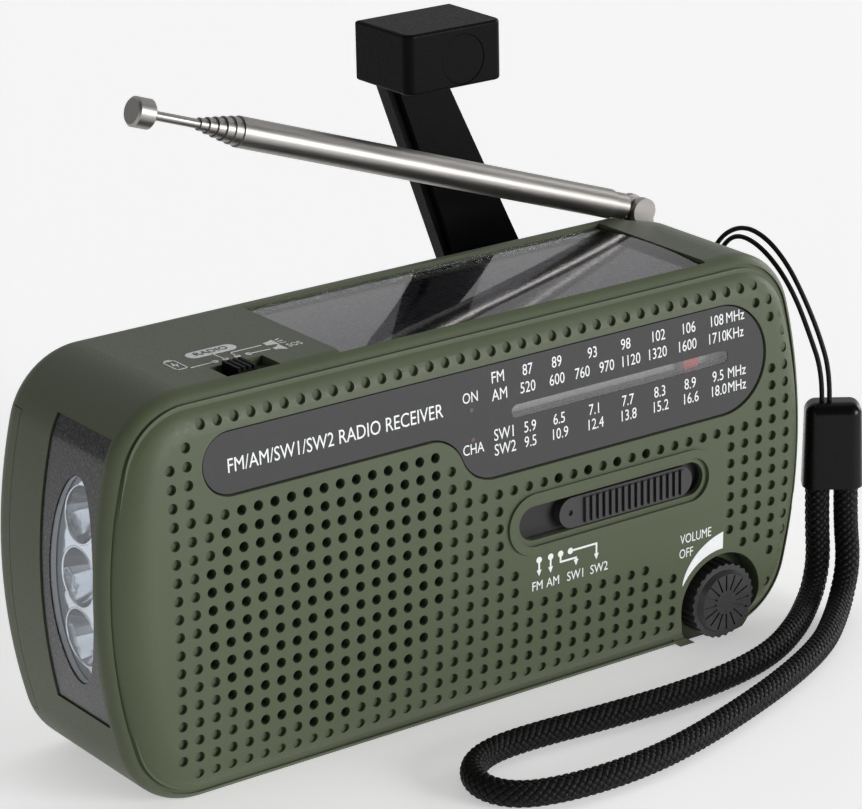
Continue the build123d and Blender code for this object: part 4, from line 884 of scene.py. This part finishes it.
for x in (9.7, 11.9, 13.8, 15.7):
    band_print.put(dot(x, DOTS_Z, 0.52))
arrow(9.7, DOTS_Z, ARROW_Z)
arrow(11.9, DOTS_Z, ARROW_Z)
band_print.put(bar(13.8, DOTS_Z, 13.8, 22.1, 0.32))
band_print.put(bar(13.8, 22.1, 16.8, 22.1, 0.32))
arrow(16.8, 22.1, ARROW_Z)
band_print.put(bar(15.7, DOTS_Z, 20.75, DOTS_Z, 0.32))
arrow(20.75, DOTS_Z, ARROW_Z)
for text, x in (("FM", 9.4), ("AM", 12.4), ("SW1", 16.8), ("SW2", 21.3)):
    band_print.put(text_shape(text, 2.15, squeeze=0.82), x, LABEL_Z)
VOLUME_X = 46.2
VOLUME_Z = 7.3
outer, inner = [], []
SWEEP_STEPS = 24
for k in range(SWEEP_STEPS + 1):
    share = k / SWEEP_STEPS
    angle = math.radians(151 - 61 * share)
    inner_r = 9.05 - 0.1 * share
    outer_r = 9.15 + 2.65 * share**0.8
    inner.append((VOLUME_X + inner_r * math.cos(angle), VOLUME_Z + inner_r * math.sin(angle)))
    outer.append((VOLUME_X + outer_r * math.cos(angle), VOLUME_Z + outer_r * math.sin(angle)))
band_print.put(strip(inner, outer))
band_print.put(text_shape("VOLUME", 2.25, squeeze=0.72), 40.6, 19.7)
band_print.put(text_shape("OFF", 2.25, squeeze=0.72), 38.7, 17.25)
band_print.finish(white_ink)

top_print = Sheet("top_print", to_top)
SWITCH_DOTS_X = (-39.7, -37.9, -35.9, -34.0)
SWITCH_DOTS_Y = -6.2
for x in SWITCH_DOTS_X:
    top_print.put(dot(x, SWITCH_DOTS_Y, 0.52))
top_print.put(bar(-43.8, -6.3, SWITCH_DOTS_X[0], SWITCH_DOTS_Y, 0.2))
top_print.put(bar(SWITCH_DOTS_X[1], SWITCH_DOTS_Y, -38.2, -3.0, 0.2))
top_print.put(bar(SWITCH_DOTS_X[2], SWITCH_DOTS_Y, -35.9, -4.15, 0.2))
top_print.put(bar(-35.9, -4.15, -30.6, -4.15, 0.2))
top_print.put(bar(SWITCH_DOTS_X[3], SWITCH_DOTS_Y, -30.5, -6.4, 0.2))
# pill behind the radio position
pill = []
for centre, start in ((-34.9, -90), (-40.5, 90)):
    for k in range(13):
        a = math.radians(start + 15 * k)
        pill.append((centre + 1.35 * math.cos(a), -1.85 + 1.35 * math.sin(a)))
top_print.put(flat_shape(pill))
# battery sign with a bolt in it
for x0, y0, x1, y1 in (
    (-45.9, -5.9, -44.1, -5.9),
    (-45.9, -1.9, -44.1, -1.9),
    (-45.9, -5.9, -45.9, -1.9),
    (-44.1, -5.9, -44.1, -1.9),
    (-45.4, -1.5, -44.6, -1.5),
):
    top_print.put(bar(x0, y0, x1, y1, 0.2))
bolt = [(-45.0, -2.6), (-45.5, -4.1), (-45.0, -4.0), (-45.1, -5.2), (-44.5, -3.7), (-45.0, -3.75)]
top_print.put(flat_shape(bolt))
# torch sign with three rays, and horn sign
torch = [(-29.9, -3.6), (-29.9, -4.7), (-28.9, -4.9), (-28.1, -5.3), (-28.1, -3.0), (-28.9, -3.4)]
top_print.put(flat_shape(torch))
for dy in (-0.7, 0.0, 0.7):
    top_print.put(bar(-27.7, -4.15 + dy, -26.9, -4.15 + 1.4 * dy, 0.16))
horn = [(-29.9, -6.2), (-29.9, -7.0), (-29.2, -7.1), (-28.3, -7.9), (-28.3, -5.3), (-29.2, -6.1)]
top_print.put(flat_shape(horn))
top_print.put(text_shape("SOS", 1.9, squeeze=0.75), -26.4, -6.7)
top_print.finish(white_ink)
pill_word = Sheet("radio_word", lambda x, y, h: (x, y, TOP_Z + 0.05 + h))
pill_word.put(text_shape("RADIO", 1.95, squeeze=0.95), -37.7, -1.85)
pill_word.finish(dark_ink)

indicator_print = Sheet("indicator_dots", front_at(WINDOW_SINK))
for z in (50.0, 45.4):
    indicator_print.put(dot(-1.9, z, 0.36))
indicator_print.finish(ink("indicator_tint", (0.10, 0.055, 0.045)))

# ---------------------------------------------------------------- floor and light
FLOOR = 4.0
floor = mesh_object(
    "floor",
    [(-FLOOR, -FLOOR, 0), (FLOOR, -FLOOR, 0), (FLOOR, FLOOR, 0), (-FLOOR, FLOOR, 0)],
    [(0, 1, 2, 3)],
    smooth=False,
)
floor_material, floor_shader = new_material("floor")
floor_shader.inputs["Base Color"].default_value = (0.88, 0.88, 0.88, 1)
floor_shader.inputs["Roughness"].default_value = 0.85
floor_shader.inputs["Emission Color"].default_value = (1, 1, 1, 1)
floor_shader.inputs["Emission Strength"].default_value = 0.42
floor.data.materials.append(floor_material)

world = bpy.data.worlds.new("studio")
world.use_nodes = True
world_tree = world.node_tree
background = world_tree.nodes["Background"]
SKY_BACK = Vector((0.25, 0.75, 0.6)).normalized()
SKY_LOW = 0.10
SKY_HIGH = 0.64
direction = world_tree.nodes.new("ShaderNodeTexCoord")
facing = world_tree.nodes.new("ShaderNodeVectorMath")
facing.operation = "DOT_PRODUCT"
facing.inputs[1].default_value = SKY_BACK
world_tree.links.new(direction.outputs["Generated"], facing.inputs[0])
glow = world_tree.nodes.new("ShaderNodeMapRange")
glow.interpolation_type = "SMOOTHSTEP"
glow.inputs["From Min"].default_value = 0.35
glow.inputs["From Max"].default_value = 0.95
glow.inputs["To Min"].default_value = SKY_LOW
glow.inputs["To Max"].default_value = SKY_HIGH
world_tree.links.new(facing.outputs["Value"], glow.inputs["Value"])
world_tree.links.new(glow.outputs["Result"], background.inputs["Strength"])
background.inputs["Color"].default_value = (1, 1, 1, 1)
bpy.context.scene.world = world


def soft_sun(name, from_direction, strength, angle_deg):
    """A wide soft light from far away."""
    data = bpy.data.lights.new(name, "SUN")
    data.energy = strength
    data.angle = math.radians(angle_deg)
    lamp = bpy.data.objects.new(name, data)
    bpy.context.collection.objects.link(lamp)
    lamp.rotation_euler = Vector(from_direction).to_track_quat("Z", "Y").to_euler()
    return lamp


soft_sun("key", (0.42, -0.90, 0.12), 3.6, 34)
soft_sun("side_fill", (-0.95, -0.15, 0.12), 0.55, 55)
soft_sun("right_rim", (0.97, 0.10, 0.20), 1.2, 30)
